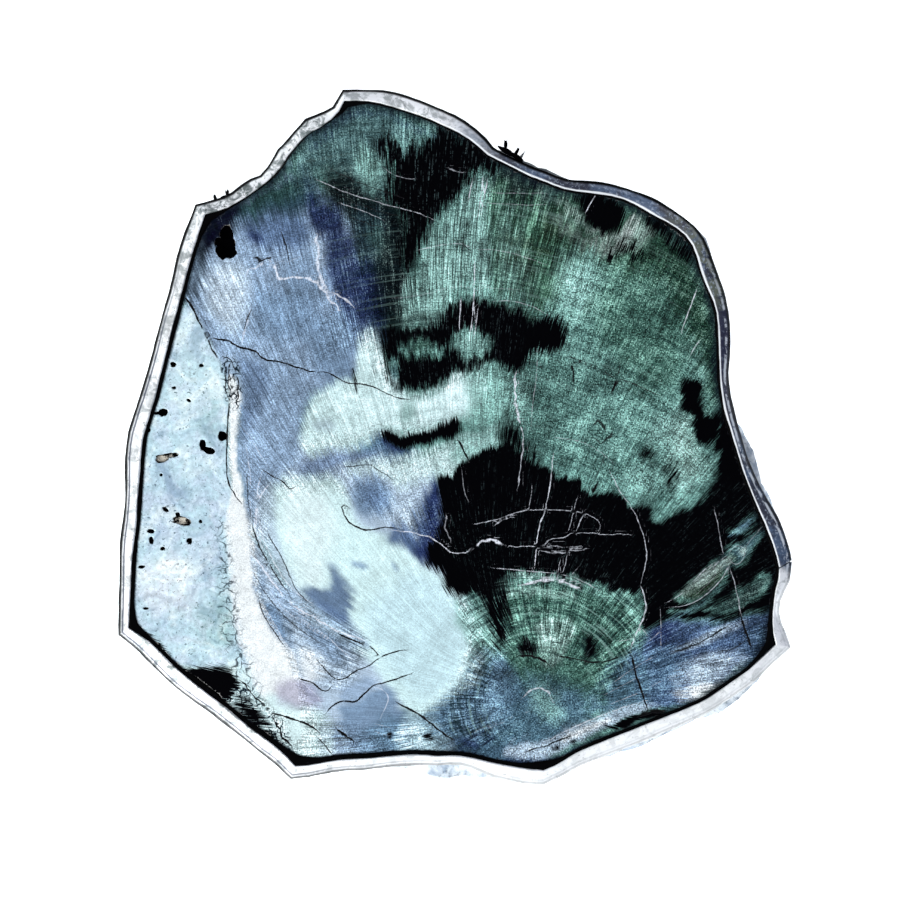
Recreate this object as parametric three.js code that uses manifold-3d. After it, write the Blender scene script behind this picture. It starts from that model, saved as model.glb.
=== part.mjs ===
// A sawn and polished slice of petrified wood, edged with one bent metal strip bedded in dark putty.
// Millimetres, +Z up. The slice lies on its sawn back with the polished face up.
// The origin is under the middle of the whole object, on the plane of the sawn back.

import * as THREE from "three";
import { mergeVertices } from "three/addons/utils/BufferGeometryUtils.js";
import Module from "manifold-3d";

// The outline's own middle, which is moved to the origin
const OUTLINE_MIDDLE = [-0.2, -0.12];

// Slab
const SLAB_THICKNESS = 26;
const FIT_GAP = 0.3;
const STATION_SPACING = 5.4;

// Metal strip: a sloping face around the polished stone and a skirt down the side
const STRIP_METAL = 1.3;
const LIP_RISE = 1.6;
const LIP_ROUND = 0.5;
const EDGE_DROP = 1.4;
const EDGE_ROUND = 0.7;
const SKIRT_DEPTH = 13;
const SEAM_GAP = 0.4;

// Rebate that the strip and the putty sit in, cut round the edge of the stone
const REBATE_DEPTH = 3.6;

// Putty bead between the stone and the strip's lip, wider where the strip is creased
const BEAD_RISE = 0.5;
const CORNER_FILL = 2.2;
const CORNER_FILL_SPREAD = 7;

// Rough side of the stone below the skirt
const BARK_INSET = 1.6;
const BARK_LEVELS = [0, 1.5, 5, 9.5];
const BARK_FOOT_INSET = 1.2;
const BARK_RIDGES = [
  { ridges: 17, height: 0.45, lean: 0.09 },
  { ridges: 31, height: 0.4, lean: -0.16 },
  { ridges: 53, height: 0.35, lean: 0.22 },
];

// The strip's inner edge, counter-clockwise from the joint at the right, in runs that meet in creases.
// A point is x, y and the width of the sloping face there. bead is the putty's width at both ends.
const RUNS = {
  rightAndTop: {
    bead: [1.9, 1.6],
    points: [
      [145.5, -59, 6.8], [144, -52.5, 7], [139.5, -40, 7], [135, -30, 6.1], [129.5, -16, 4.7],
      [125, -1, 4], [121, 12.5, 4.3], [119, 25.5, 4.3], [118.5, 38.5, 5.4], [118, 50, 5.9],
      [116.5, 59.5, 6.1], [113, 68, 6.8], [110, 76.5, 6.5], [107.5, 84.5, 6.3], [103.5, 90.5, 6.3],
      [97.5, 95, 6.5], [90.5, 99, 6.8], [82, 104, 6.1], [73.5, 107.5, 5.4], [64, 109.5, 5.3],
      [53.5, 110.5, 5.2], [47, 112, 4.7], [41, 114.5, 4.7], [33, 117.5, 4.5], [26, 121, 4.3],
      [20, 124, 4.3], [15, 126.5, 4.3], [10, 131, 5], [4, 135.5, 5.7], [-3, 139, 6.5],
      [-13.5, 143.5, 6.6], [-22, 146.5, 6.9], [-32.5, 149.5, 6.7], [-41, 151, 5.6], [-50, 151, 5.5],
    ],
  },
  topLeft: {
    bead: [1.6, 2],
    points: [
      [-50, 151, 3.4], [-52.5, 146.5, 3.6], [-56.5, 142.5, 5], [-62.5, 138.5, 6.3], [-67, 136, 6.4],
      [-70, 132.5, 4.9], [-74, 128, 6], [-79, 120.5, 5.7], [-85, 114.5, 4.6], [-90, 111, 5.8],
      [-99, 105, 5.3], [-104, 102.5, 5.6], [-112.5, 100, 5.9],
    ],
  },
  left: {
    bead: [2, 2.2],
    points: [
      [-112.5, 100, 6.1], [-118.5, 82.5, 6.4], [-123, 65.5, 5.9], [-126.5, 51.5, 6.6], [-131, 34.5, 6.3],
      [-135.5, 16.5, 7.1], [-138.5, 7, 7.2], [-140.5, 0, 7.3], [-141.5, -8.5, 7.4], [-142.5, -21.5, 6.4],
      [-143.5, -37, 6.3], [-145, -49.5, 6.3], [-146, -65.5, 5.6], [-147, -86, 5],
    ],
  },
  lowerLeft: {
    bead: [2.2, 3],
    points: [
      [-147, -86, 5.6], [-138.5, -91.5, 6.8], [-131, -99, 6.9], [-124, -105.5, 7.3], [-115.5, -112.5, 7],
      [-107, -119, 6.4], [-94, -129.5, 6.2], [-84, -137, 6.8], [-78, -142, 6.3], [-72, -148, 6.3],
    ],
  },
  bottom: {
    bead: [3, 2.6],
    points: [
      [-72, -148, 6.3], [-66, -147.5, 6.1], [-57.5, -146, 5.6], [-49, -145, 5.7], [-40.5, -144.5, 5.8],
      [-27.5, -143.5, 5], [-16.5, -143, 5], [-7.5, -143.5, 4.7], [1, -143.5, 4], [9.5, -145, 4.6],
      [18, -147, 6.2], [26.5, -148.5, 6.8], [33.5, -149.5, 7.1], [39.5, -150, 6.8],
    ],
  },
  lowerRight: {
    bead: [2.6, 2.6],
    points: [
      [39.5, -150, 6.3], [46.5, -147, 5.9], [53, -143, 6.1], [61.5, -139, 6.8], [70, -135.5, 7],
      [80.5, -131.5, 7], [89.5, -128, 6.5], [101, -123.5, 6.1], [112, -118.5, 6.1], [122.5, -111.5, 6.1],
      [132.5, -104.5, 5.8], [137, -100, 5.9], [144, -93.5, 6.1],
    ],
  },
  belowJoint: {
    bead: [2.6, 1.9],
    points: [
      [144, -93.5, 7], [142.5, -86.5, 5.6], [142.5, -80, 3.7], [143, -75, 3.1], [144, -69, 4.2],
      [145.5, -62.5, 5.9], [145.5, -59, 6.3],
    ],
  },
};

// Places where the rough stone stands out past the strip: how far, and over what length of the edge
const LEDGES = [
  { x: 133, y: -8, reach: 6.6, spread: 15 },
  { x: 141, y: -30, reach: 3.4, spread: 13 },
  { x: -4, y: -150, reach: 9.6, spread: 22 },
  { x: 88, y: -136, reach: 4.6, spread: 30 },
  { x: 128, y: -116, reach: 4.8, spread: 20 },
  { x: 30, y: 126, reach: 4.6, spread: 15 },
  { x: 48, y: 118, reach: 3.4, spread: 11 },
  { x: 112, y: 86, reach: 3, spread: 17 },
  { x: -101, y: 109, reach: 2.6, spread: 9 },
  { x: -134, y: 62, reach: 2.6, spread: 7 },
];

// Broken splinters of the rough stone: root on the edge, direction in degrees and length past the strip
const SPLINTERS = [
  { x: -107, y: 104, toward: 112, length: 3.4 },
  { x: -103, y: 106, toward: 104, length: 3.2 },
  { x: 22, y: 128, toward: 78, length: 4.4 },
  { x: 28, y: 125, toward: 52, length: 3.6 },
];
const SPLINTER_ROOT = 8;
const SPLINTER_RADIUS = 2.2;
const SPLINTER_HEIGHT = 8.5;

// Open pits in the polished face: centre, half length, half width, depth and turn in degrees
const PITS = [
  { x: -103.2, y: 86.2, long: 6.4, wide: 4.4, depth: 4.2, turn: 80 },
  { x: -107, y: 91, long: 3.6, wide: 3, depth: 3.2, turn: 30 },
  { x: -130.3, y: -9, long: 5, wide: 2.5, depth: 2, turn: 8 },
  { x: -123.5, y: -38, long: 5.4, wide: 3.1, depth: 2.2, turn: -12 },
  { x: -112, y: -5, long: 3.4, wide: 2.6, depth: 2, turn: 40 },
  { x: -104.6, y: 0, long: 2.4, wide: 2, depth: 1.8, turn: 0 },
  { x: -132, y: 10.6, long: 2, wide: 1.6, depth: 1.4, turn: 0 },
  { x: -101, y: 24, long: 8.4, wide: 3, depth: 1.4, turn: 84 },
  { x: -109.5, y: -111, long: 10.5, wide: 5.4, depth: 1.3, turn: -10 },
  { x: -130.5, y: -32.6, long: 2, wide: 1.6, depth: 1.3, turn: 0 },
];
const PIT_SEGMENTS = 10;

const degrees = THREE.MathUtils.degToRad;

// One side of a station: its outward direction, the face width and the bead width there
function sideAt(curve, run, fraction) {
  const point = curve.getPointAt(fraction);
  const heading = curve.getTangentAt(fraction);
  return {
    x: point.x,
    y: point.y,
    width: point.z,
    bead: THREE.MathUtils.lerp(run.bead[0], run.bead[1], fraction),
    outward: new THREE.Vector2(heading.y, -heading.x).normalize(),
  };
}

function sidesAlong(run) {
  const points = run.points.map(([x, y, width]) => new THREE.Vector3(x, y, width));
  const curve = new THREE.CatmullRomCurve3(points, false, "centripetal");
  const count = Math.round(curve.getLength() / STATION_SPACING);
  return Array.from({ length: count + 1 }, (_, i) => sideAt(curve, run, i / count));
}

// Stations once round. A crease has a different side before and after it, and the first is the joint.
function makeStations() {
  const runs = Object.values(RUNS).map(sidesAlong);
  return runs.flatMap((sides, r) => {
    const previous = runs.at(r - 1);
    const crease = { before: previous.at(-1), after: sides[0] };
    const smooth = sides.slice(1, -1).map((side) => ({ before: side, after: side }));
    return [crease, ...smooth];
  });
}

const stations = makeStations();
const creases = stations.filter((station) => station.before !== station.after);

// The extra width of the putty near a crease
function cornerFill(side) {
  const nearest = Math.min(...creases.slice(1).map(({ after }) => Math.hypot(after.x - side.x, after.y - side.y)));
  return CORNER_FILL * Math.exp(-((nearest / CORNER_FILL_SPREAD) ** 2));
}

const beadWidth = (side) => side.bead + cornerFill(side);

// The point at height z that is out by the given distances from both sides of a station
function offsetPoint({ before, after }, outBefore, outAfter, z) {
  const [a, b] = [before.outward, after.outward];
  if (before === after) {
    return new THREE.Vector3(after.x + a.x * outAfter, after.y + a.y * outAfter, z);
  }
  const turn = a.cross(b);
  const x = (outBefore * b.y - outAfter * a.y) / turn;
  const y = (outAfter * a.x - outBefore * b.x) / turn;
  return new THREE.Vector3(after.x + x, after.y + y, z);
}

// A profile is a function from a side to its points, each the distance out from the inner edge and z
function sectionAt(station, profile) {
  const before = profile(station.before);
  const after = profile(station.after);
  return after.map(([out, z], i) => offsetPoint(station, before[i][0], out, z));
}

function stripProfile({ width }) {
  const lip = SLAB_THICKNESS + LIP_RISE;
  const edge = SLAB_THICKNESS - EDGE_DROP;
  const foot = SLAB_THICKNESS - SKIRT_DEPTH;
  return [
    [0, lip - STRIP_METAL],
    [width - STRIP_METAL, edge - STRIP_METAL],
    [width - STRIP_METAL, foot],
    [width, foot],
    [width, edge - EDGE_ROUND],
    [width - EDGE_ROUND, edge + EDGE_ROUND / 2],
    [LIP_ROUND, lip],
    [0, lip - LIP_ROUND],
  ];
}

function beadProfile(side) {
  const inner = FIT_GAP - beadWidth(side);
  const floor = SLAB_THICKNESS - REBATE_DEPTH + FIT_GAP;
  return [
    [inner, floor],
    [-FIT_GAP, floor],
    [-FIT_GAP, SLAB_THICKNESS + BEAD_RISE],
    [inner, SLAB_THICKNESS + BEAD_RISE / 4],
  ];
}

// How far the rough side stands out past the strip's outer edge, below zero where it is hidden
function barkReach({ x, y }, z) {
  const around = Math.atan2(y, x);
  const ridges = BARK_RIDGES.map(({ ridges: n, height, lean }) => height * Math.sin(n * around + lean * z * n / 9));
  const ledges = LEDGES.map((ledge) => {
    const distance = Math.hypot(ledge.x - x, ledge.y - y);
    return ledge.reach * Math.exp(-((distance / ledge.spread) ** 2));
  });
  return [...ridges, ...ledges].reduce((sum, value) => sum + value, -BARK_INSET);
}

function slabProfile(side) {
  const { width } = side;
  const ledge = SLAB_THICKNESS - SKIRT_DEPTH - FIT_GAP;
  const rebate = SLAB_THICKNESS - REBATE_DEPTH;
  const seat = width - STRIP_METAL - FIT_GAP;
  const bark = BARK_LEVELS.map((z) => [width + barkReach(side, z) - (z === 0 ? BARK_FOOT_INSET : 0), z]);
  return [
    ...bark,
    [width + barkReach(side, ledge) - BARK_FOOT_INSET / 2, ledge],
    [seat, ledge + FIT_GAP / 2],
    [seat, rebate],
    [-beadWidth(side), rebate],
    [-beadWidth(side), SLAB_THICKNESS],
  ];
}

// Triangles between neighbouring sections. Their points run from the outside's foot up and inwards.
function bridge(positions, triangles, sections, ringClosed, profileClosed) {
  const size = sections[0].length;
  sections.forEach((section) => section.forEach((point) => positions.push(point.x, point.y, point.z)));
  const ringEnd = ringClosed ? sections.length : sections.length - 1;
  const profileEnd = profileClosed ? size : size - 1;
  for (let i = 0; i < ringEnd; i += 1) {
    for (let j = 0; j < profileEnd; j += 1) {
      const a = i * size + j;
      const b = ((i + 1) % sections.length) * size + j;
      const c = ((i + 1) % sections.length) * size + ((j + 1) % size);
      const d = i * size + ((j + 1) % size);
      triangles.push(a, b, c, a, c, d);
    }
  }
}

function closedGeometry(positions, triangles) {
  const geometry = new THREE.BufferGeometry();
  geometry.setAttribute("position", new THREE.Float32BufferAttribute(positions, 3));
  geometry.setIndex(triangles);
  return geometry;
}

// The slab's body: its rough and rebated side, closed by the flat back and the flat polished face
function slabBody() {
  const positions = [];
  const triangles = [];
  const sections = stations.map((station) => sectionAt(station, slabProfile));
  bridge(positions, triangles, sections, true, false);
  const size = sections[0].length;
  [[0, false], [size - 1, true]].forEach(([level, faceUp]) => {
    const outline = sections.map((section) => new THREE.Vector2(section[level].x, section[level].y));
    THREE.ShapeUtils.triangulateShape(outline, []).forEach(([a, b, c]) => {
      const corners = faceUp ? [a, b, c] : [a, c, b];
      triangles.push(...corners.map((corner) => corner * size + level));
    });
  });
  return closedGeometry(positions, triangles);
}

function beadRing() {
  const positions = [];
  const triangles = [];
  bridge(positions, triangles, stations.map((station) => sectionAt(station, beadProfile)), true, true);
  return closedGeometry(positions, triangles);
}

// The strip runs once round and stops short of itself by the seam gap at the joint
function stripBand() {
  const positions = [];
  const triangles = [];
  const sections = stations.map((station) => sectionAt(station, stripProfile));
  const jointStart = sections[0].map((point, i) => stepToward(point, sections[1][i]));
  const jointEnd = sections[0].map((point, i) => stepToward(point, sections.at(-1)[i]));
  const band = [jointStart, ...sections.slice(1), jointEnd];
  bridge(positions, triangles, band, false, true);
  const size = band[0].length;
  const last = (band.length - 1) * size;
  const endCap = [[0, 1, 5], [0, 5, 6], [0, 6, 7], [1, 2, 3], [1, 3, 4], [1, 4, 5]];
  endCap.forEach(([a, b, c]) => triangles.push(a, b, c, last + a, last + c, last + b));
  return closedGeometry(positions, triangles);
}

function stepToward(point, neighbour) {
  const step = neighbour.clone().sub(point).setLength(SEAM_GAP / 2);
  return point.clone().add(step);
}

function pitGeometry({ x, y, long, wide, depth, turn }) {
  const geometry = new THREE.SphereGeometry(1, PIT_SEGMENTS, PIT_SEGMENTS / 2);
  geometry.scale(long, wide, depth);
  geometry.rotateZ(degrees(turn));
  geometry.translate(x, y, SLAB_THICKNESS);
  return geometry;
}

function splinterGeometry({ x, y, toward, length }) {
  const whole = SPLINTER_ROOT + length;
  const geometry = new THREE.ConeGeometry(SPLINTER_RADIUS, whole, 5);
  geometry.rotateZ(degrees(toward - 90));
  const middle = whole / 2 - SPLINTER_ROOT / 2;
  const [dx, dy] = [Math.cos(degrees(toward)), Math.sin(degrees(toward))];
  geometry.translate(x + dx * middle, y + dy * middle, SPLINTER_HEIGHT);
  return geometry;
}

const wasm = await Module();
wasm.setup();

function toSolid(geometry) {
  const bare = geometry.clone();
  bare.deleteAttribute("normal");
  bare.deleteAttribute("uv");
  const merged = mergeVertices(bare, 1e-4);
  return new wasm.Manifold(new wasm.Mesh({
    numProp: 3,
    vertProperties: merged.attributes.position.array,
    triVerts: new Uint32Array(merged.index.array),
  }));
}

function toGeometry(solid) {
  const { vertProperties, triVerts } = solid.getMesh();
  const geometry = new THREE.BufferGeometry();
  geometry.setAttribute("position", new THREE.BufferAttribute(vertProperties, 3));
  geometry.setIndex(new THREE.BufferAttribute(triVerts, 1));
  return geometry;
}

function slabGeometry() {
  const splinters = SPLINTERS.map((splinter) => toSolid(splinterGeometry(splinter)));
  const pits = PITS.map((pit) => toSolid(pitGeometry(pit)));
  const rough = splinters.reduce((body, splinter) => body.add(splinter), toSolid(slabBody()));
  return toGeometry(pits.reduce((body, pit) => body.subtract(pit), rough));
}

const stone = new THREE.MeshStandardMaterial({ color: 0x7d9c9a, roughness: 0.25, metalness: 0 });
const metal = new THREE.MeshStandardMaterial({ color: 0xd9dde2, roughness: 0.35, metalness: 1 });
const putty = new THREE.MeshStandardMaterial({ color: 0x060608, roughness: 0.7, metalness: 0 });

function piece(name, geometry, material) {
  geometry.computeVertexNormals();
  const mesh = new THREE.Mesh(geometry, material);
  mesh.name = name;
  return mesh;
}

const group = new THREE.Group();
group.position.set(-OUTLINE_MIDDLE[0], -OUTLINE_MIDDLE[1], 0);
group.add(
  piece("petrified_wood_slab", slabGeometry(), stone),
  piece("rim_strip", stripBand(), metal),
  piece("bedding_putty", beadRing(), putty),
);

export default group;
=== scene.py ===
"""Looks of a mounted petrified wood section: a polished slice, its metal strip and the putty between."""

import logging
import math
from dataclasses import dataclass, field
from enum import Enum, IntEnum
from typing import Sequence

import bmesh
import bpy
import numpy as np
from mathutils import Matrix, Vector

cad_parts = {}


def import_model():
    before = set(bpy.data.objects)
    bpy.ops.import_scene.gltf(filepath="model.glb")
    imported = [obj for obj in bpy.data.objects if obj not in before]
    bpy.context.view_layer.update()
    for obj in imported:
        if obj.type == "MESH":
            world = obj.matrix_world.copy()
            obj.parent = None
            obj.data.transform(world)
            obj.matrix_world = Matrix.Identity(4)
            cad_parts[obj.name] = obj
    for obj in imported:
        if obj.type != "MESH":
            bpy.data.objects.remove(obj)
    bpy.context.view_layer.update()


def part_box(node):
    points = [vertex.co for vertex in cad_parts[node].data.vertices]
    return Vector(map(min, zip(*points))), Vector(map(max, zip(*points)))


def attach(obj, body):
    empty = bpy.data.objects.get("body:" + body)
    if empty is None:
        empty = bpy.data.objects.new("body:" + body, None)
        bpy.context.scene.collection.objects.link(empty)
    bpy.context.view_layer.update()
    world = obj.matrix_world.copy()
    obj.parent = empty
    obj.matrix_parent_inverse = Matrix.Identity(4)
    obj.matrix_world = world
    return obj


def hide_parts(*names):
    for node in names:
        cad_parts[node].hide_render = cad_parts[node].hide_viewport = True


log = logging.getLogger("petrified_wood")

MM = 0.001
USUAL_RADIUS = 150.0
LEVEL_GAP = 0.03 * MM
MERGE_GAP = 0.005 * MM
SMOOTH_ANGLE = math.radians(40)
Points = Sequence[tuple[float, float]]


@dataclass(frozen=True)
class PhotoScale:
    """How the photograph's pixels lie on the polished face, which it looks straight down on."""

    metres_per_pixel: float = 0.00045
    origin_pixel: tuple[float, float] = (455.06, 437.02)
    frame_pixels: float = 900.0
    pith_pixel: tuple[float, float] = (543.0, 703.0)

    def to_part(self, px: float, py: float) -> tuple[float, float]:
        """A pixel's place on the face, in metres."""
        return (px - self.origin_pixel[0]) * self.metres_per_pixel, (self.origin_pixel[1] - py) * self.metres_per_pixel

    def to_pixels(self, places: np.ndarray) -> np.ndarray:
        """Places in metres as pixels, one row each.

        Args:
            places: one row for each place.

        Returns:
            One row of two for each place.
        """
        px = places[:, 0] / self.metres_per_pixel + self.origin_pixel[0]
        py = self.origin_pixel[1] - places[:, 1] / self.metres_per_pixel
        return np.stack([px, py], axis=1)


SCALE = PhotoScale()


class Seed(IntEnum):
    """The seeds of the noises that shape and mark the pieces."""

    TREMBLE = 3
    BARK = 5
    EDGES = 11
    DETAIL = 23
    STREAKS = 37
    DENTS = 71
    PUTTY = 91
    PITS = 100
    BURRS = 300


class Tone(Enum):
    """The stone's colours, as 8-bit display values."""

    FROST = (243, 249, 249)
    MINT = (214, 243, 243)
    ICE = (192, 223, 233)
    VEIL = (178, 198, 216)
    LAVENDER = (146, 170, 196)
    SLATE = (118, 145, 173)
    DUSK = (80, 104, 140)
    STEEL = (82, 114, 136)
    NAVY = (32, 44, 86)
    MIDNIGHT = (12, 12, 34)
    MAUVE = (152, 148, 174)
    PALE_SEA = (168, 208, 198)
    PALE_TEAL = (138, 184, 176)
    SAGE = (114, 150, 144)
    PETROL = (74, 104, 106)
    TEAL = (96, 138, 131)
    SEA = (72, 112, 101)
    FERN = (64, 102, 84)
    FOREST = (38, 70, 56)
    OLIVE = (42, 58, 42)
    DEEP = (20, 30, 34)
    SPRUCE = (50, 74, 88)
    ASH = (160, 182, 176)
    PITCH = (5, 8, 14)
    INK = (2, 2, 4)

    def linear(self) -> np.ndarray:
        """The tone as linear light."""
        return display_to_linear(np.array(self.value) / 255)


def display_to_linear(values: np.ndarray) -> np.ndarray:
    """Display values from 0 to 1 as linear light."""
    return np.where(values <= 0.04045, values / 12.92, ((values + 0.055) / 1.055) ** 2.4)


@dataclass(frozen=True)
class Patch:
    """One stained area of the face.

    Attributes:
        name: what a maker would call it.
        tone: its colour. INK patches become the sharp black stain.
        outline: its corners, in pixels of the photograph.
        soft: half the width of its edge, in pixels.
        rag: how far its edge runs in and out along the rays, in pixels.
        cover: how much of what is below it hides.
        over: whether it also lies over the black stain.
    """

    name: str
    tone: Tone
    outline: Points
    soft: float = 4.0
    rag: float = 4.0
    cover: float = 1.0
    over: bool = False


@dataclass(frozen=True)
class Zone:
    """An area of the face with its own figure: how strong rings, rays, speckle, agate, glints and crackle are."""

    name: str
    outline: Points
    ring: float = 0.2
    ray: float = 0.6
    speckle: float = 0.7
    agate: float = 0.0
    glint: float = 0.0
    crackle: float = 0.0
    soft: float = 10.0


@dataclass(frozen=True)
class Line:
    """A thin vein or crack: its route and its width, in pixels of the photograph, and its strength."""

    name: str
    route: Points
    width: float = 1.4
    strength: float = 1.0
    jitter: float = 0.8


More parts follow.
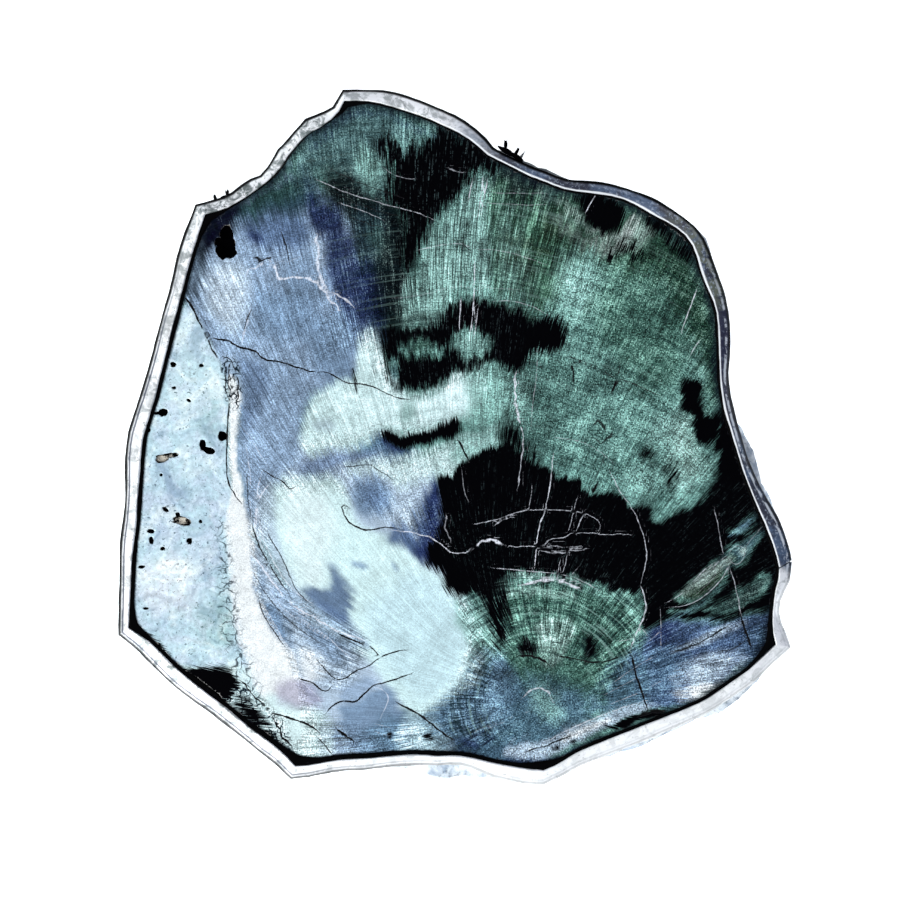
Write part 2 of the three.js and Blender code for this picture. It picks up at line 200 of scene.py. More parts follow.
PATCHES: tuple[Patch, ...] = (
    Patch("cloud base", Tone.VEIL, (
        (238, 560), (250, 470), (300, 430), (380, 455), (440, 465), (450, 560), (480, 650), (440, 720),
        (400, 770), (300, 770), (230, 690)), 10, 6),
    Patch("upper left base", Tone.LAVENDER, (
        (180, 292), (205, 210), (262, 186), (300, 200), (300, 380), (240, 420), (224, 370), (200, 335)), 6, 2),
    Patch("foot base", Tone.MINT, (
        (160, 650), (180, 664), (240, 660), (320, 700), (330, 770), (290, 770), (200, 710)), 4, 1),
    Patch("steel base", Tone.STEEL, (
        (396, 706), (440, 690), (480, 700), (530, 745), (560, 760), (500, 775), (392, 770)), 6, 4),
    Patch("slate field", Tone.LAVENDER, (
        (200, 220), (232, 205), (262, 188), (285, 165), (300, 175), (330, 200), (352, 215), (358, 250),
        (365, 300), (372, 332), (372, 372), (350, 378), (330, 385), (310, 400), (302, 430), (302, 455),
        (285, 480), (262, 500), (252, 540), (236, 480), (234, 440), (243, 400), (232, 358), (205, 330),
        (180, 300)), 8, 4),
    Patch("slate heart", Tone.SLATE, (
        (250, 292), (275, 286), (305, 288), (318, 310), (312, 335), (280, 342), (255, 330)), 12, 6, 0.8),
    Patch("slate flank", Tone.SLATE, (
        (236, 352), (252, 356), (275, 366), (300, 376), (308, 400), (300, 430), (300, 460), (282, 478),
        (262, 498), (252, 530), (240, 490), (235, 450), (236, 420), (246, 396)), 6, 4, 0.12),
    Patch("slate under the crack", Tone.DUSK, (
        (240, 356), (262, 362), (272, 380), (262, 405), (252, 430), (238, 440), (236, 420), (247, 396)),
        7, 4, 0.5),
    Patch("slate right", Tone.SLATE, (
        (305, 318), (335, 305), (356, 318), (362, 350), (352, 374), (330, 378), (310, 362)), 9, 10, 0.75),
    Patch("lavender upper", Tone.DUSK, (
        (244, 220), (262, 214), (300, 210), (312, 232), (304, 250), (280, 250), (256, 246), (244, 236)),
        8, 4, 0.8),
    Patch("upper speck", Tone.NAVY, ((248, 230), (258, 226), (264, 236), (258, 246), (250, 242)), 4, 3, 0.85),
    Patch("slate shoulder", Tone.SLATE, (
        (286, 262), (312, 250), (316, 276), (326, 296), (318, 312), (296, 300), (280, 284)), 8, 4, 0.5),
    Patch("pale lavender", Tone.VEIL, (
        (206, 262), (232, 258), (248, 268), (250, 300), (240, 336), (218, 330), (202, 300)), 8, 3),
    Patch("pale lavender glow", Tone.FROST, (
        (212, 270), (234, 266), (242, 286), (234, 322), (216, 316), (208, 292)), 8, 3, 0.12),
    Patch("vein cloud", Tone.VEIL, (
        (311, 238), (326, 232), (334, 246), (330, 264), (322, 270), (314, 262)), 4, 2, 0.75),
    Patch("blue rim of the field", Tone.DUSK, (
        (318, 232), (336, 228), (348, 260), (362, 300), (372, 340), (360, 348), (340, 312), (326, 280)),
        8, 6, 0.7),
    Patch("blue behind the veins", Tone.NAVY, (
        (326, 238), (352, 225), (366, 262), (372, 300), (374, 332), (352, 322), (336, 300), (326, 268)),
        7, 8, 0.9),
    Patch("top left shade", Tone.SPRUCE, (
        (206, 216), (232, 204), (262, 186), (290, 165), (310, 170), (326, 200), (305, 216), (270, 218),
        (240, 224), (215, 242), (204, 242)), 8, 4),
    Patch("top left green", Tone.FOREST, (
        (236, 206), (262, 190), (290, 172), (306, 180), (296, 200), (264, 208), (242, 214)), 6, 4, 0.6),
    Patch("top left corner", Tone.MIDNIGHT, (
        (202, 214), (222, 206), (240, 203), (240, 214), (233, 224), (226, 236), (216, 244), (206, 254),
        (198, 266), (199, 238)), 4, 2),
    Patch("left margin", Tone.DEEP, (
        (196, 240), (208, 240), (205, 262), (206, 280), (198, 296), (184, 302), (188, 280)), 4, 2, 0.7),
    Patch("navy notch", Tone.NAVY, (
        (306, 200), (330, 198), (342, 208), (344, 230), (330, 240), (316, 232), (308, 220)), 5, 6, 0.95),
    Patch("agate", Tone.ICE, (
        (184, 297), (204, 331), (214, 350), (224, 368), (230, 400), (227, 430), (227, 470), (233, 495),
        (238, 520), (236, 560), (236, 600), (238, 640), (244, 668), (185, 668), (165, 655), (130, 627),
        (127, 590), (130, 545), (134, 500), (136, 455), (143, 420), (156, 370), (168, 328)), 2, 0),
    Patch("agate lavender", Tone.LAVENDER, (
        (150, 455), (176, 470), (190, 500), (186, 540), (160, 545), (142, 520), (140, 480)), 10, 3, 0.6),
    Patch("agate grey", Tone.SLATE, (
        (198, 546), (212, 540), (224, 552), (222, 574), (208, 584), (197, 570)), 8, 2, 0.8),
    Patch("agate frost", Tone.FROST, (
        (140, 560), (180, 548), (196, 590), (190, 620), (150, 612), (134, 590)), 12, 3, 0.95),
    Patch("agate mint", Tone.PALE_TEAL, (
        (196, 600), (226, 596), (234, 630), (226, 654), (200, 646), (190, 620)), 10, 3, 0.85),
    Patch("agate upper frost", Tone.MINT, (
        (170, 330), (196, 330), (216, 370), (214, 420), (190, 410), (166, 390)), 12, 2, 0.7),
    Patch("agate grey band", Tone.LAVENDER, (
        (196, 470), (212, 480), (222, 510), (216, 540), (202, 536), (196, 500)), 8, 3, 0.7),
    Patch("agate mint high", Tone.PALE_TEAL, (
        (196, 404), (216, 396), (224, 420), (216, 444), (200, 436)), 8, 3, 0.6),
    Patch("agate grey low", Tone.SLATE, (
        (146, 618), (176, 610), (190, 626), (170, 642), (150, 636)), 9, 3, 0.5),
    Patch("agate edge", Tone.PALE_TEAL, (
        (160, 366), (146, 420), (139, 470), (134, 540), (131, 600), (132, 624), (120, 624), (120, 540),
        (130, 440), (150, 360)), 5, 1, 0.8),
    Patch("white strip", Tone.FROST, (
        (228, 372), (236, 374), (240, 396), (236, 430), (237, 463), (243, 499), (249, 523), (252, 540),
        (251, 565), (252, 588), (260, 601), (265, 616), (275, 634), (288, 646), (292, 664), (300, 690),
        (312, 716), (308, 742), (298, 752), (286, 742), (270, 712), (256, 690), (246, 664), (240, 645),
        (236, 629), (231, 604), (229, 580), (228, 562), (225, 523), (227, 508), (231, 496), (230, 463),
        (229, 430), (230, 400)), 1.5, 0),
    Patch("wedge beside the strip", Tone.SLATE, (
        (262, 598), (274, 603), (284, 616), (290, 632), (290, 648), (280, 644), (270, 628), (263, 612)),
        2.5, 1, 0.9),
    Patch("pale foot", Tone.MINT, (
        (262, 690), (290, 700), (318, 708), (328, 714), (326, 740), (318, 756), (296, 762), (284, 745),
        (272, 722)), 5, 2, 0.8),
    Patch("mint heart", Tone.MINT, (
        (262, 500), (268, 488), (285, 482), (300, 476), (322, 474), (340, 476), (348, 500), (356, 520),
        (372, 531), (392, 535), (408, 548), (420, 562), (432, 570), (446, 574), (462, 592), (470, 612),
        (478, 640), (476, 665), (462, 684), (446, 698), (432, 716), (412, 714), (395, 698), (378, 668),
        (358, 648), (336, 640), (312, 628), (296, 604), (280, 578), (268, 545), (262, 520)), 6, 3),
    Patch("mint glow", Tone.FROST, (
        (280, 500), (310, 486), (332, 500), (334, 540), (322, 590), (300, 590), (286, 550)), 14, 6, 0.35),
    Patch("icy slope", Tone.ICE, (
        (380, 590), (420, 570), (448, 580), (466, 610), (474, 650), (452, 690), (420, 708), (396, 680),
        (372, 650), (368, 615)), 14, 6, 0.6),
    Patch("veil by the mint", Tone.VEIL, (
        (254, 505), (262, 486), (272, 480), (276, 500), (276, 530), (284, 560), (300, 590), (296, 604),
        (282, 590), (266, 562), (256, 535)), 4, 2, 0.8),
    Patch("spruce in the veil", Tone.SAGE, (
        (256, 530), (262, 534), (276, 560), (292, 588), (286, 590), (268, 566), (256, 545)), 3, 1, 0.5),
    Patch("slate wedge", Tone.SLATE, (
        (260, 601), (271, 602), (280, 612), (286, 625), (289, 640), (285, 646), (277, 636), (269, 622),
        (262, 610)), 2, 1, 0.95),
    Patch("slate chip", Tone.SLATE, ((252, 566), (260, 570), (262, 584), (258, 597), (252, 592)), 2, 1, 0.8),
    Patch("periwinkle drift", Tone.LAVENDER, (
        (264, 582), (290, 586), (312, 596), (332, 608), (350, 622), (364, 634), (372, 648), (352, 650),
        (328, 644), (306, 634), (288, 618), (272, 600)), 5, 3, 0.8),
    Patch("slate below the drift", Tone.SLATE, (
        (300, 622), (318, 628), (340, 640), (352, 652), (346, 668), (334, 668), (320, 654), (306, 640)),
        5, 4, 0.7),
    Patch("dusk in the mint", Tone.DUSK, (
        (336, 568), (346, 575), (351, 588), (357, 597), (358, 607), (354, 619), (346, 628), (336, 624),
        (326, 616), (314, 604), (302, 597), (314, 590), (328, 585)), 7, 12, 0.9),
    Patch("dusk flecks", Tone.SLATE, ((352, 560), (366, 560), (366, 570), (354, 570)), 3, 8, 0.8),
    Patch("dusk tick", Tone.SLATE, ((391, 562), (396, 562), (400, 575), (396, 575)), 2, 6, 0.7),
    Patch("frost foot", Tone.FROST, ((296, 650), (312, 648), (320, 662), (316, 682), (302, 682)), 5, 2, 0.7),
    Patch("mauve lens", Tone.MAUVE, (
        (272, 688), (284, 680), (300, 678), (314, 684), (322, 696), (322, 708), (300, 709), (282, 704)),
        6, 4, 0.7),
    Patch("lavender shoulder", Tone.LAVENDER, (
        (340, 690), (352, 680), (368, 676), (380, 682), (366, 694), (356, 704), (340, 703)), 4, 2, 0.85),
    Patch("slate foot", Tone.SLATE, (
        (338, 706), (358, 703), (372, 690), (388, 684), (398, 700), (404, 716), (402, 740), (396, 756),
        (346, 760), (340, 735)), 5, 4, 0.9),
    Patch("steel foot", Tone.STEEL, (
        (366, 728), (388, 712), (402, 720), (402, 742), (392, 756), (368, 756)), 8, 4, 0.7),
    Patch("icy foot", Tone.ICE, (
        (404, 712), (420, 716), (434, 728), (446, 742), (450, 756), (410, 758), (400, 742)), 5, 4, 0.7),
    Patch("blue spot", Tone.SLATE, (
        (350, 482), (366, 474), (384, 478), (394, 492), (392, 508), (378, 518), (360, 516), (350, 502)),
        6, 6, 0.9),
    Patch("blue spot core", Tone.DUSK, ((358, 488), (374, 482), (386, 494), (380, 508), (364, 508)), 6, 6, 0.6),
    Patch("blue shore", Tone.DUSK, (
        (424, 484), (436, 474), (442, 500), (441, 540), (434, 566), (424, 562), (410, 552), (396, 542),
        (382, 536), (388, 528), (408, 530), (420, 518), (420, 500)), 5, 12, 0.95),
    Patch("navy shore", Tone.NAVY, (
        (424, 488), (442, 474), (444, 540), (436, 568), (420, 560), (410, 548), (424, 532)), 5, 8, 0.95),
    Patch("pale lobe", Tone.MINT, (
        (302, 450), (302, 430), (308, 410), (316, 396), (330, 386), (345, 379), (357, 381), (358, 345),
        (364, 333), (378, 334), (383, 350), (386, 366), (392, 382), (402, 392), (412, 399), (426, 397),
        (440, 390), (453, 382), (466, 376), (480, 373), (486, 384), (484, 402), (470, 415), (452, 420),
        (440, 424), (420, 430), (398, 431), (386, 426), (376, 438), (355, 445), (330, 450), (310, 456)),
        4, 1.5),
    Patch("pale lobe end", Tone.PALE_TEAL, (
        (462, 376), (485, 369), (512, 372), (532, 380), (530, 410), (510, 420), (480, 432), (462, 424),
        (470, 405)), 8, 8, 0.85),
    Patch("lobe shade", Tone.SAGE, ((398, 402), (414, 400), (418, 414), (410, 424), (398, 420)), 6, 6, 0.75),
    Patch("lobe haze", Tone.VEIL, ((310, 420), (332, 418), (336, 428), (314, 432)), 5, 4, 0.5),
    Patch("pale bridge", Tone.MINT, (
        (345, 468), (352, 463), (372, 460), (392, 459), (410, 456), (430, 451), (450, 444), (462, 440),
        (484, 436), (500, 432), (500, 446), (486, 452), (470, 464), (452, 476), (434, 474), (418, 482),
        (400, 490), (392, 478), (372, 470), (352, 474)), 4, 2.5, 0.8),
    Patch("bridge end", Tone.PALE_TEAL, (
        (445, 452), (462, 443), (490, 436), (512, 430), (520, 440), (500, 448), (480, 460), (462, 468)),
        5, 5, 0.8),
    Patch("slate stripe", Tone.DUSK, (
        (298, 458), (318, 453), (340, 450), (362, 446), (380, 434), (388, 440), (404, 446), (414, 451),
        (400, 456), (380, 459), (355, 462), (342, 467), (326, 474), (310, 480), (298, 476)), 4, 3, 0.72),
    Patch("stripe rim", Tone.NAVY, (
        (376, 438), (384, 430), (396, 440), (412, 446), (424, 446), (408, 456), (392, 452)), 4, 3, 0.9),
    Patch("crown teal", Tone.PETROL, (
        (318, 130), (340, 112), (372, 108), (410, 120), (440, 133), (452, 146), (430, 142), (416, 147),
        (400, 146), (382, 142), (386, 158), (390, 183), (386, 200), (366, 194), (352, 182), (340, 170),
        (326, 168), (305, 178), (296, 172), (300, 152)), 6, 6),
    Patch("crown light", Tone.PALE_TEAL, (
        (355, 158), (366, 150), (378, 155), (386, 170), (386, 184), (374, 190), (360, 180)), 7, 8, 0.8),
    Patch("crown rim", Tone.NAVY, (
        (310, 138), (326, 124), (342, 106), (362, 102), (395, 108), (430, 122), (462, 138), (488, 158),
        (470, 150), (440, 133), (410, 120), (375, 110), (345, 116), (326, 134), (306, 150)), 5, 2, 0.75),
    Patch("dark shoulder", Tone.DEEP, (
        (326, 168), (340, 168), (354, 170), (356, 184), (384, 200), (398, 208), (406, 224), (400, 256),
        (410, 276), (404, 300), (396, 320), (380, 330), (366, 300), (360, 262), (352, 222), (336, 206),
        (322, 190)), 5, 8, 0.95),
    Patch("shoulder blue", Tone.SPRUCE, (
        (352, 206), (384, 210), (398, 222), (396, 262), (384, 300), (372, 318), (362, 290), (356, 250)),
        7, 14, 0.5),
    Patch("shoulder teal", Tone.TEAL, ((362, 224), (380, 222), (398, 234), (396, 254), (378, 252)), 6, 10, 0.35),
    Patch("shoulder pitch", Tone.PITCH, (
        (388, 196), (402, 204), (408, 226), (402, 262), (412, 280), (408, 306), (392, 318), (378, 300),
        (372, 270), (380, 240)), 8, 5, 0.85),
    Patch("shoulder pitch left", Tone.PITCH, (
        (330, 180), (346, 184), (372, 196), (396, 198), (396, 214), (372, 212), (350, 208), (332, 198)),
        6, 4, 0.8),
    Patch("crown pitch", Tone.PITCH, (
        (366, 136), (384, 150), (392, 168), (404, 178), (430, 176), (430, 200), (402, 206), (392, 196),
        (394, 180), (384, 162)), 5, 3, 0.6),
    Patch("column foot pitch", Tone.PITCH, (
        (372, 318), (392, 306), (420, 318), (440, 316), (436, 334), (400, 336), (380, 334)), 7, 6, 0.85),
    Patch("navy column", Tone.NAVY, (
        (354, 262), (366, 258), (380, 280), (386, 318), (384, 340), (370, 332), (360, 300)), 6, 12, 0.85),
    Patch("dark streaks", Tone.DEEP, (
        (372, 264), (400, 260), (412, 276), (406, 300), (400, 322), (392, 330), (380, 322), (374, 296)),
        6, 14, 0.7),
    Patch("pale column", Tone.SAGE, (
        (426, 244), (440, 226), (456, 206), (468, 192), (478, 178), (488, 186), (490, 230), (492, 300),
        (470, 300), (452, 300), (444, 312), (430, 326), (404, 322), (398, 310), (410, 290), (420, 266)),
        5, 14),
    Patch("pale column light", Tone.PALE_TEAL, (
        (430, 252), (450, 232), (470, 216), (482, 232), (480, 280), (452, 290), (432, 300), (422, 282)),
        10, 16, 0.08),
    Patch("green shoulder", Tone.FERN, (
        (486, 186), (505, 172), (530, 180), (556, 192), (572, 214), (600, 244), (580, 262), (560, 300),
        (545, 312), (530, 306), (508, 300), (492, 300), (490, 240)), 7, 12),
    Patch("shoulder light", Tone.SAGE, (
        (494, 206), (512, 210), (522, 226), (520, 250), (538, 268), (536, 296), (512, 298), (494, 290)),
        10, 14, 0.55),
    Patch("olive ring", Tone.OLIVE, (
        (497, 239), (515, 242), (535, 249), (550, 258), (546, 264), (525, 259), (505, 253), (494, 248)),
        3, 5, 0.85),
    Patch("green shoulder shade", Tone.FOREST, (
        (500, 176), (540, 186), (566, 204), (592, 240), (574, 256), (548, 250), (540, 224), (516, 212),
        (500, 206)), 8, 8, 0.65),
    Patch("olive knot", Tone.OLIVE, (
        (544, 212), (560, 212), (576, 226), (584, 244), (570, 250), (552, 244), (540, 228)), 6, 8, 0.85),
    Patch("olive streak", Tone.OLIVE, ((520, 262), (534, 264), (536, 290), (522, 288)), 6, 10, 0.6),
    Patch("dark brow", Tone.DEEP, (
        (480, 164), (500, 160), (524, 170), (560, 184), (592, 192), (592, 208), (560, 206), (530, 204),
        (500, 196)), 6, 10, 0.85),
    Patch("right light", Tone.PALE_TEAL, (
        (556, 262), (580, 256), (606, 262), (606, 286), (596, 306), (574, 312), (556, 300)), 12, 14, 0.8),
    Patch("right green", Tone.FOREST, (
        (640, 246), (680, 236), (704, 266), (716, 310), (726, 360), (726, 404), (706, 404), (700, 356),
        (680, 330), (656, 318), (640, 286)), 12, 8),
    Patch("right mid", Tone.SEA, (
        (600, 270), (650, 262), (684, 320), (690, 380), (650, 400), (620, 370), (590, 330)), 16, 12, 0.95),
    Patch("right shade", Tone.FERN, ((552, 188), (600, 196), (644, 212), (680, 240), (664, 276), (610, 274),
        (566, 240)), 8, 8, 0.9),
    Patch("brow moss", Tone.FOREST, (
        (548, 200), (580, 196), (640, 214), (680, 240), (690, 262), (660, 268), (620, 250), (584, 246),
        (560, 226)), 7, 8, 0.7),
    Patch("crumbs under the pocket", Tone.FROST, (
        (584, 226), (596, 234), (608, 241), (620, 236), (632, 222), (640, 226), (628, 244), (608, 250),
        (590, 242)), 3, 6, 0.45),
    Patch("crust light", Tone.ASH, (
        (552, 202), (566, 206), (578, 222), (594, 234), (612, 240), (630, 232), (648, 216), (660, 226),
        (650, 240), (630, 252), (606, 254), (584, 244), (566, 226)), 4, 6, 0.5),
    Patch("cheek light", Tone.PALE_TEAL, (
        (656, 412), (676, 410), (690, 418), (704, 448), (712, 470), (700, 492), (676, 492), (660, 466),
        (648, 440)), 8, 10),
    Patch("cheek glow", Tone.PALE_SEA, (
        (668, 420), (686, 424), (700, 450), (700, 474), (684, 478), (670, 456)), 8, 8, 0.6),
    Patch("cheek light low", Tone.PALE_TEAL, ((624, 470), (644, 466), (660, 484), (656, 502), (636, 500),
        (622, 486)), 6, 8, 0.7),
    Patch("heartwood", Tone.INK, (
        (436, 474), (443, 476), (456, 468), (466, 461), (479, 453), (488, 447), (498, 444), (506, 438),
        (520, 446), (537, 458), (545, 467), (557, 475), (570, 478), (580, 483), (586, 491), (598, 493),
        (612, 493), (620, 495), (626, 504), (634, 509), (643, 506), (651, 514), (653, 521), (661, 522),
        (669, 514), (683, 509), (696, 504), (707, 493), (713, 482), (718, 468), (716, 452), (712, 446),
        (714, 436), (719, 424), (722, 408), (726, 396), (734, 420), (744, 450), (756, 480), (772, 520),
        (786, 560), (784, 606), (768, 609), (752, 612), (736, 617), (719, 622), (700, 618), (686, 622),
        (674, 615), (662, 622), (652, 627), (646, 630), (642, 622), (646, 608), (643, 590), (636, 593),
        (626, 592), (612, 588), (600, 587), (586, 580), (574, 577), (558, 574), (536, 573), (520, 572),
        (506, 578), (498, 586), (499, 602), (502, 620), (505, 640), (500, 646), (492, 634), (487, 614),
        (483, 596), (474, 592), (462, 598), (450, 594), (446, 584), (444, 574), (434, 569), (425, 567),
        (426, 553), (433, 542), (438, 528), (441, 512), (438, 496)), 1.5, 5),
    Patch("speckled cap", Tone.INK, (
        (498, 444), (500, 430), (508, 421), (517, 424), (526, 436), (534, 446), (538, 460), (520, 454)),
        4, 6, 0.72),
    Patch("upper band", Tone.INK, (
        (378, 330), (392, 325), (403, 328), (416, 331), (427, 328), (441, 316), (449, 306), (466, 303),
        (482, 304), (495, 302), (507, 307), (522, 309), (536, 317), (544, 321), (553, 316), (560, 319),
        (568, 331), (566, 344), (560, 350), (549, 351), (541, 354), (535, 353), (530, 362), (521, 367),
        (513, 369), (503, 367), (495, 365), (479, 368), (466, 371), (452, 376), (446, 381), (436, 386),
        (420, 386), (409, 391), (399, 388), (390, 380), (386, 366), (383, 350)), 1.8, 6, 0.9),
    Patch("crown black", Tone.INK, (
        (369, 138), (380, 151), (388, 161), (390, 183), (386, 199), (399, 206), (406, 222), (400, 231),
        (398, 256), (403, 272), (413, 272), (419, 256), (426, 239), (436, 219), (449, 206), (466, 189),
        (474, 176), (496, 170), (507, 165), (500, 156), (482, 146), (466, 134), (449, 128), (436, 132),
        (429, 140), (416, 146), (399, 145), (383, 141)), 2.5, 8, 0.85),
    Patch("bar", Tone.INK, (
        (382, 431), (386, 427), (393, 433), (406, 434), (419, 431), (433, 428), (443, 424), (446, 420),
        (453, 418), (461, 424), (462, 433), (457, 439), (449, 438), (439, 439), (429, 444), (416, 446),
        (406, 449), (393, 445), (384, 438)), 1.4, 4),
    Patch("cheek blob", Tone.INK, (
        (679, 385), (686, 378), (694, 378), (702, 385), (704, 393), (701, 403), (704, 413), (707, 416),
        (719, 410), (724, 418), (722, 436), (709, 446), (703, 446), (698, 441), (694, 435), (692, 423),
        (694, 416), (686, 415), (679, 410), (682, 400), (679, 391)), 1.6, 3),
    Patch("fan", Tone.SEA, (
        (498, 588), (508, 580), (522, 576), (545, 576), (575, 580), (600, 590), (634, 598), (642, 612),
        (640, 628), (630, 648), (622, 664), (604, 690), (590, 715), (566, 732), (530, 742), (490, 740),
        (460, 730), (452, 716), (464, 698), (480, 680), (494, 658), (506, 645)), 3, 2),
    Patch("fan steel left", Tone.STEEL, (
        (430, 706), (446, 698), (462, 684), (480, 664), (496, 652), (512, 660), (520, 690), (516, 720),
        (500, 744), (470, 752), (446, 742), (430, 724)), 5, 5),
    Patch("fan steel haze", Tone.SLATE, (
        (434, 708), (452, 692), (474, 676), (496, 656), (508, 664), (512, 700), (494, 736), (462, 742)),
        6, 6, 0.3),
    Patch("fan steel low", Tone.STEEL, (
        (504, 690), (540, 676), (580, 690), (596, 712), (572, 736), (536, 750), (500, 752)), 8, 4, 0.85),
    Patch("fan steel right", Tone.STEEL, (
        (612, 662), (626, 652), (638, 660), (644, 690), (646, 704), (624, 708), (600, 714), (594, 702)),
        5, 4, 0.9),
    Patch("pith light", Tone.PALE_TEAL, (
        (532, 690), (542, 686), (552, 692), (558, 702), (564, 716), (556, 722), (540, 716), (532, 704)),
        5, 3, 0.6),
    Patch("right foot", Tone.DUSK, (
        (644, 636), (652, 628), (674, 616), (700, 620), (719, 623), (736, 618), (768, 609), (778, 612),
        (778, 644), (764, 652), (746, 667), (728, 680), (706, 694), (690, 702), (668, 708), (648, 710),
        (640, 690), (636, 665), (634, 648)), 4, 4),
    Patch("right foot shade", Tone.NAVY, (
        (640, 650), (670, 630), (700, 640), (690, 676), (664, 700), (644, 700)), 12, 6, 0.4),
    Patch("right foot steel", Tone.STEEL, (
        (640, 650), (662, 644), (682, 656), (678, 684), (660, 700), (646, 706), (638, 684)), 6, 4, 0.5),
    Patch("right foot light", Tone.VEIL, (
        (680, 664), (700, 656), (724, 652), (742, 656), (732, 672), (712, 686), (694, 696), (682, 688)),
        6, 4, 0.8),
    Patch("right foot bright", Tone.FROST, ((688, 688), (704, 684), (722, 682), (716, 692), (696, 702),
        (684, 704)), 4, 2, 0.75),
    Patch("right foot streak", Tone.VEIL, (
        (676, 648), (700, 636), (724, 624), (740, 620), (736, 628), (712, 640), (684, 652)), 3, 3, 0.8),
    Patch("right foot navy", Tone.NAVY, (
        (642, 640), (648, 626), (664, 622), (678, 618), (680, 630), (664, 644), (650, 650)), 4, 3, 0.85),
    Patch("right foot edge", Tone.SPRUCE, ((750, 628), (770, 618), (776, 644), (762, 654), (748, 650)), 5, 3, 0.7),
    Patch("pale hem", Tone.VEIL, (
        (500, 752), (520, 744), (545, 742), (570, 729), (600, 716), (625, 706), (648, 702), (652, 709),
        (632, 716), (606, 727), (586, 739), (566, 749), (546, 758), (530, 759), (512, 758)), 3, 2, 0.9),
    Patch("hem frost", Tone.FROST, ((560, 738), (590, 724), (612, 716), (606, 724), (584, 734), (564, 744)),
        2.5, 1, 0.6),
    Patch("hem shade", Tone.NAVY, ((500, 760), (520, 758), (545, 760), (572, 752), (600, 738), (606, 744),
        (560, 764), (540, 770), (500, 768)), 3, 1, 0.8),
    Patch("fan white", Tone.PALE_SEA, (
        (500, 584), (520, 578), (545, 578), (560, 580), (580, 586), (580, 592), (560, 589), (540, 586),
        (520, 586), (504, 590)), 2, 3, 0.95),
    Patch("fan block", Tone.PALE_SEA, (
        (540, 626), (558, 626), (568, 634), (568, 652), (558, 660), (542, 656), (536, 642)), 3, 4, 0.95),
    Patch("fan left light", Tone.PALE_TEAL, (
        (454, 604), (468, 600), (482, 606), (488, 630), (492, 648), (478, 652), (466, 640), (456, 622)),
        5, 6, 0.75),
    Patch("fan cell", Tone.INK, ((520, 640), (534, 640), (536, 656), (520, 655)), 2.4, 3),
    Patch("fan knot", Tone.INK, ((586, 636), (596, 638), (598, 654), (590, 660), (584, 650)), 3, 3, 0.9),
    Patch("fan knot low", Tone.DEEP, ((546, 662), (560, 662), (560, 674), (548, 673)), 2.5, 2, 0.85),
    Patch("fan bar", Tone.DEEP, ((524, 616), (556, 616), (558, 622), (526, 623)), 2, 3, 0.8),
    Patch("lens", Tone.OLIVE, (
        (672, 596), (684, 588), (700, 572), (714, 560), (726, 556), (732, 562), (728, 574), (716, 588),
        (700, 600), (684, 606)), 4, 3, 0.95, True),
    Patch("lens light", Tone.ASH, (
        (686, 588), (700, 574), (712, 564), (722, 561), (716, 572), (706, 582), (694, 593)), 4, 2, 0.9, True),
    Patch("lens tail", Tone.SPRUCE, (
        (668, 610), (694, 608), (712, 594), (724, 578), (729, 581), (716, 598), (698, 612), (676, 615)),
        2.5, 3, 0.7, True),
    Patch("eye ring", Tone.SPRUCE, (
        (728, 546), (740, 541), (750, 548), (744, 562), (734, 568), (726, 560)), 3.5, 2, 0.85, True),
    Patch("eye", Tone.ASH, ((733, 553), (738, 552), (740, 557), (736, 561), (732, 558)), 2, 1, 0.95, True),
    Patch("eye tail", Tone.SPRUCE, (
        (742, 546), (752, 533), (764, 522), (768, 530), (758, 544), (748, 556)), 4, 4, 0.8, True),
    Patch("blue streak", Tone.DUSK, ((728, 534), (744, 522), (758, 512), (757, 522), (742, 533)),
        4, 4, 0.7, True),
    Patch("green streak", Tone.DEEP, (
        (700, 612), (720, 604), (746, 586), (770, 570), (776, 584), (752, 602), (726, 616)), 6, 6, 0.9, True),
    Patch("hem slit", Tone.INK, (
        (598, 727), (613, 724), (626, 718), (643, 713), (658, 709), (668, 712), (654, 718), (640, 722),
        (626, 727), (612, 729)), 1.2, 1),
    Patch("hem bit left", Tone.INK, ((552, 749), (560, 746), (562, 749), (554, 752)), 1, 1),
    Patch("hem bit right", Tone.INK, ((568, 744), (578, 739), (580, 742), (570, 747)), 1, 1),
    Patch("brow pocket", Tone.INK, (
        (572, 194), (596, 194), (618, 201), (628, 212), (622, 222), (618, 232), (609, 239), (600, 235),
        (594, 228), (586, 224), (580, 210)), 2.5, 3, 0.9),
    Patch("cheek pocket", Tone.INK, ((646, 214), (658, 220), (672, 230), (668, 234), (654, 232), (646, 224)),
        2.5, 3, 0.95),
    Patch("brow streaks", Tone.INK, ((606, 250), (624, 246), (644, 252), (650, 260), (630, 262), (610, 262)),
        4, 8, 0.75),
    Patch("brow shade", Tone.DEEP, ((568, 198), (590, 198), (592, 214), (576, 212)), 4, 4, 0.7),
    Patch("spot high", Tone.INK, ((640, 450), (648, 448), (652, 454), (650, 463), (642, 462)), 3, 4, 0.8),
    Patch("spot low", Tone.INK, ((660, 470), (672, 466), (680, 474), (672, 486), (662, 482)), 4, 6, 0.7),
    Patch("green fleck", Tone.FOREST, ((584, 300), (592, 296), (594, 310), (586, 316)), 4, 6, 0.6),
    Patch("band window", Tone.SAGE, (
        (450, 336), (462, 331), (480, 333), (494, 342), (491, 355), (474, 362), (458, 360)), 4, 9, 0.95, True),
    Patch("band moss", Tone.FOREST, (
        (398, 340), (420, 337), (442, 341), (441, 353), (420, 357), (402, 353)), 4, 10, 0.85, True),
    Patch("band rays", Tone.SPRUCE, (
        (386, 356), (398, 352), (400, 376), (390, 384)), 4, 12, 0.7, True),
    Patch("slash", Tone.INK, ((350, 368), (353, 368), (358, 391), (356, 392)), 1, 2, 0.9),
    Patch("lobe fleck", Tone.DEEP, ((370, 364), (375, 362), (377, 368), (372, 371)), 2, 3, 0.85),
    Patch("fan dark column", Tone.INK, (
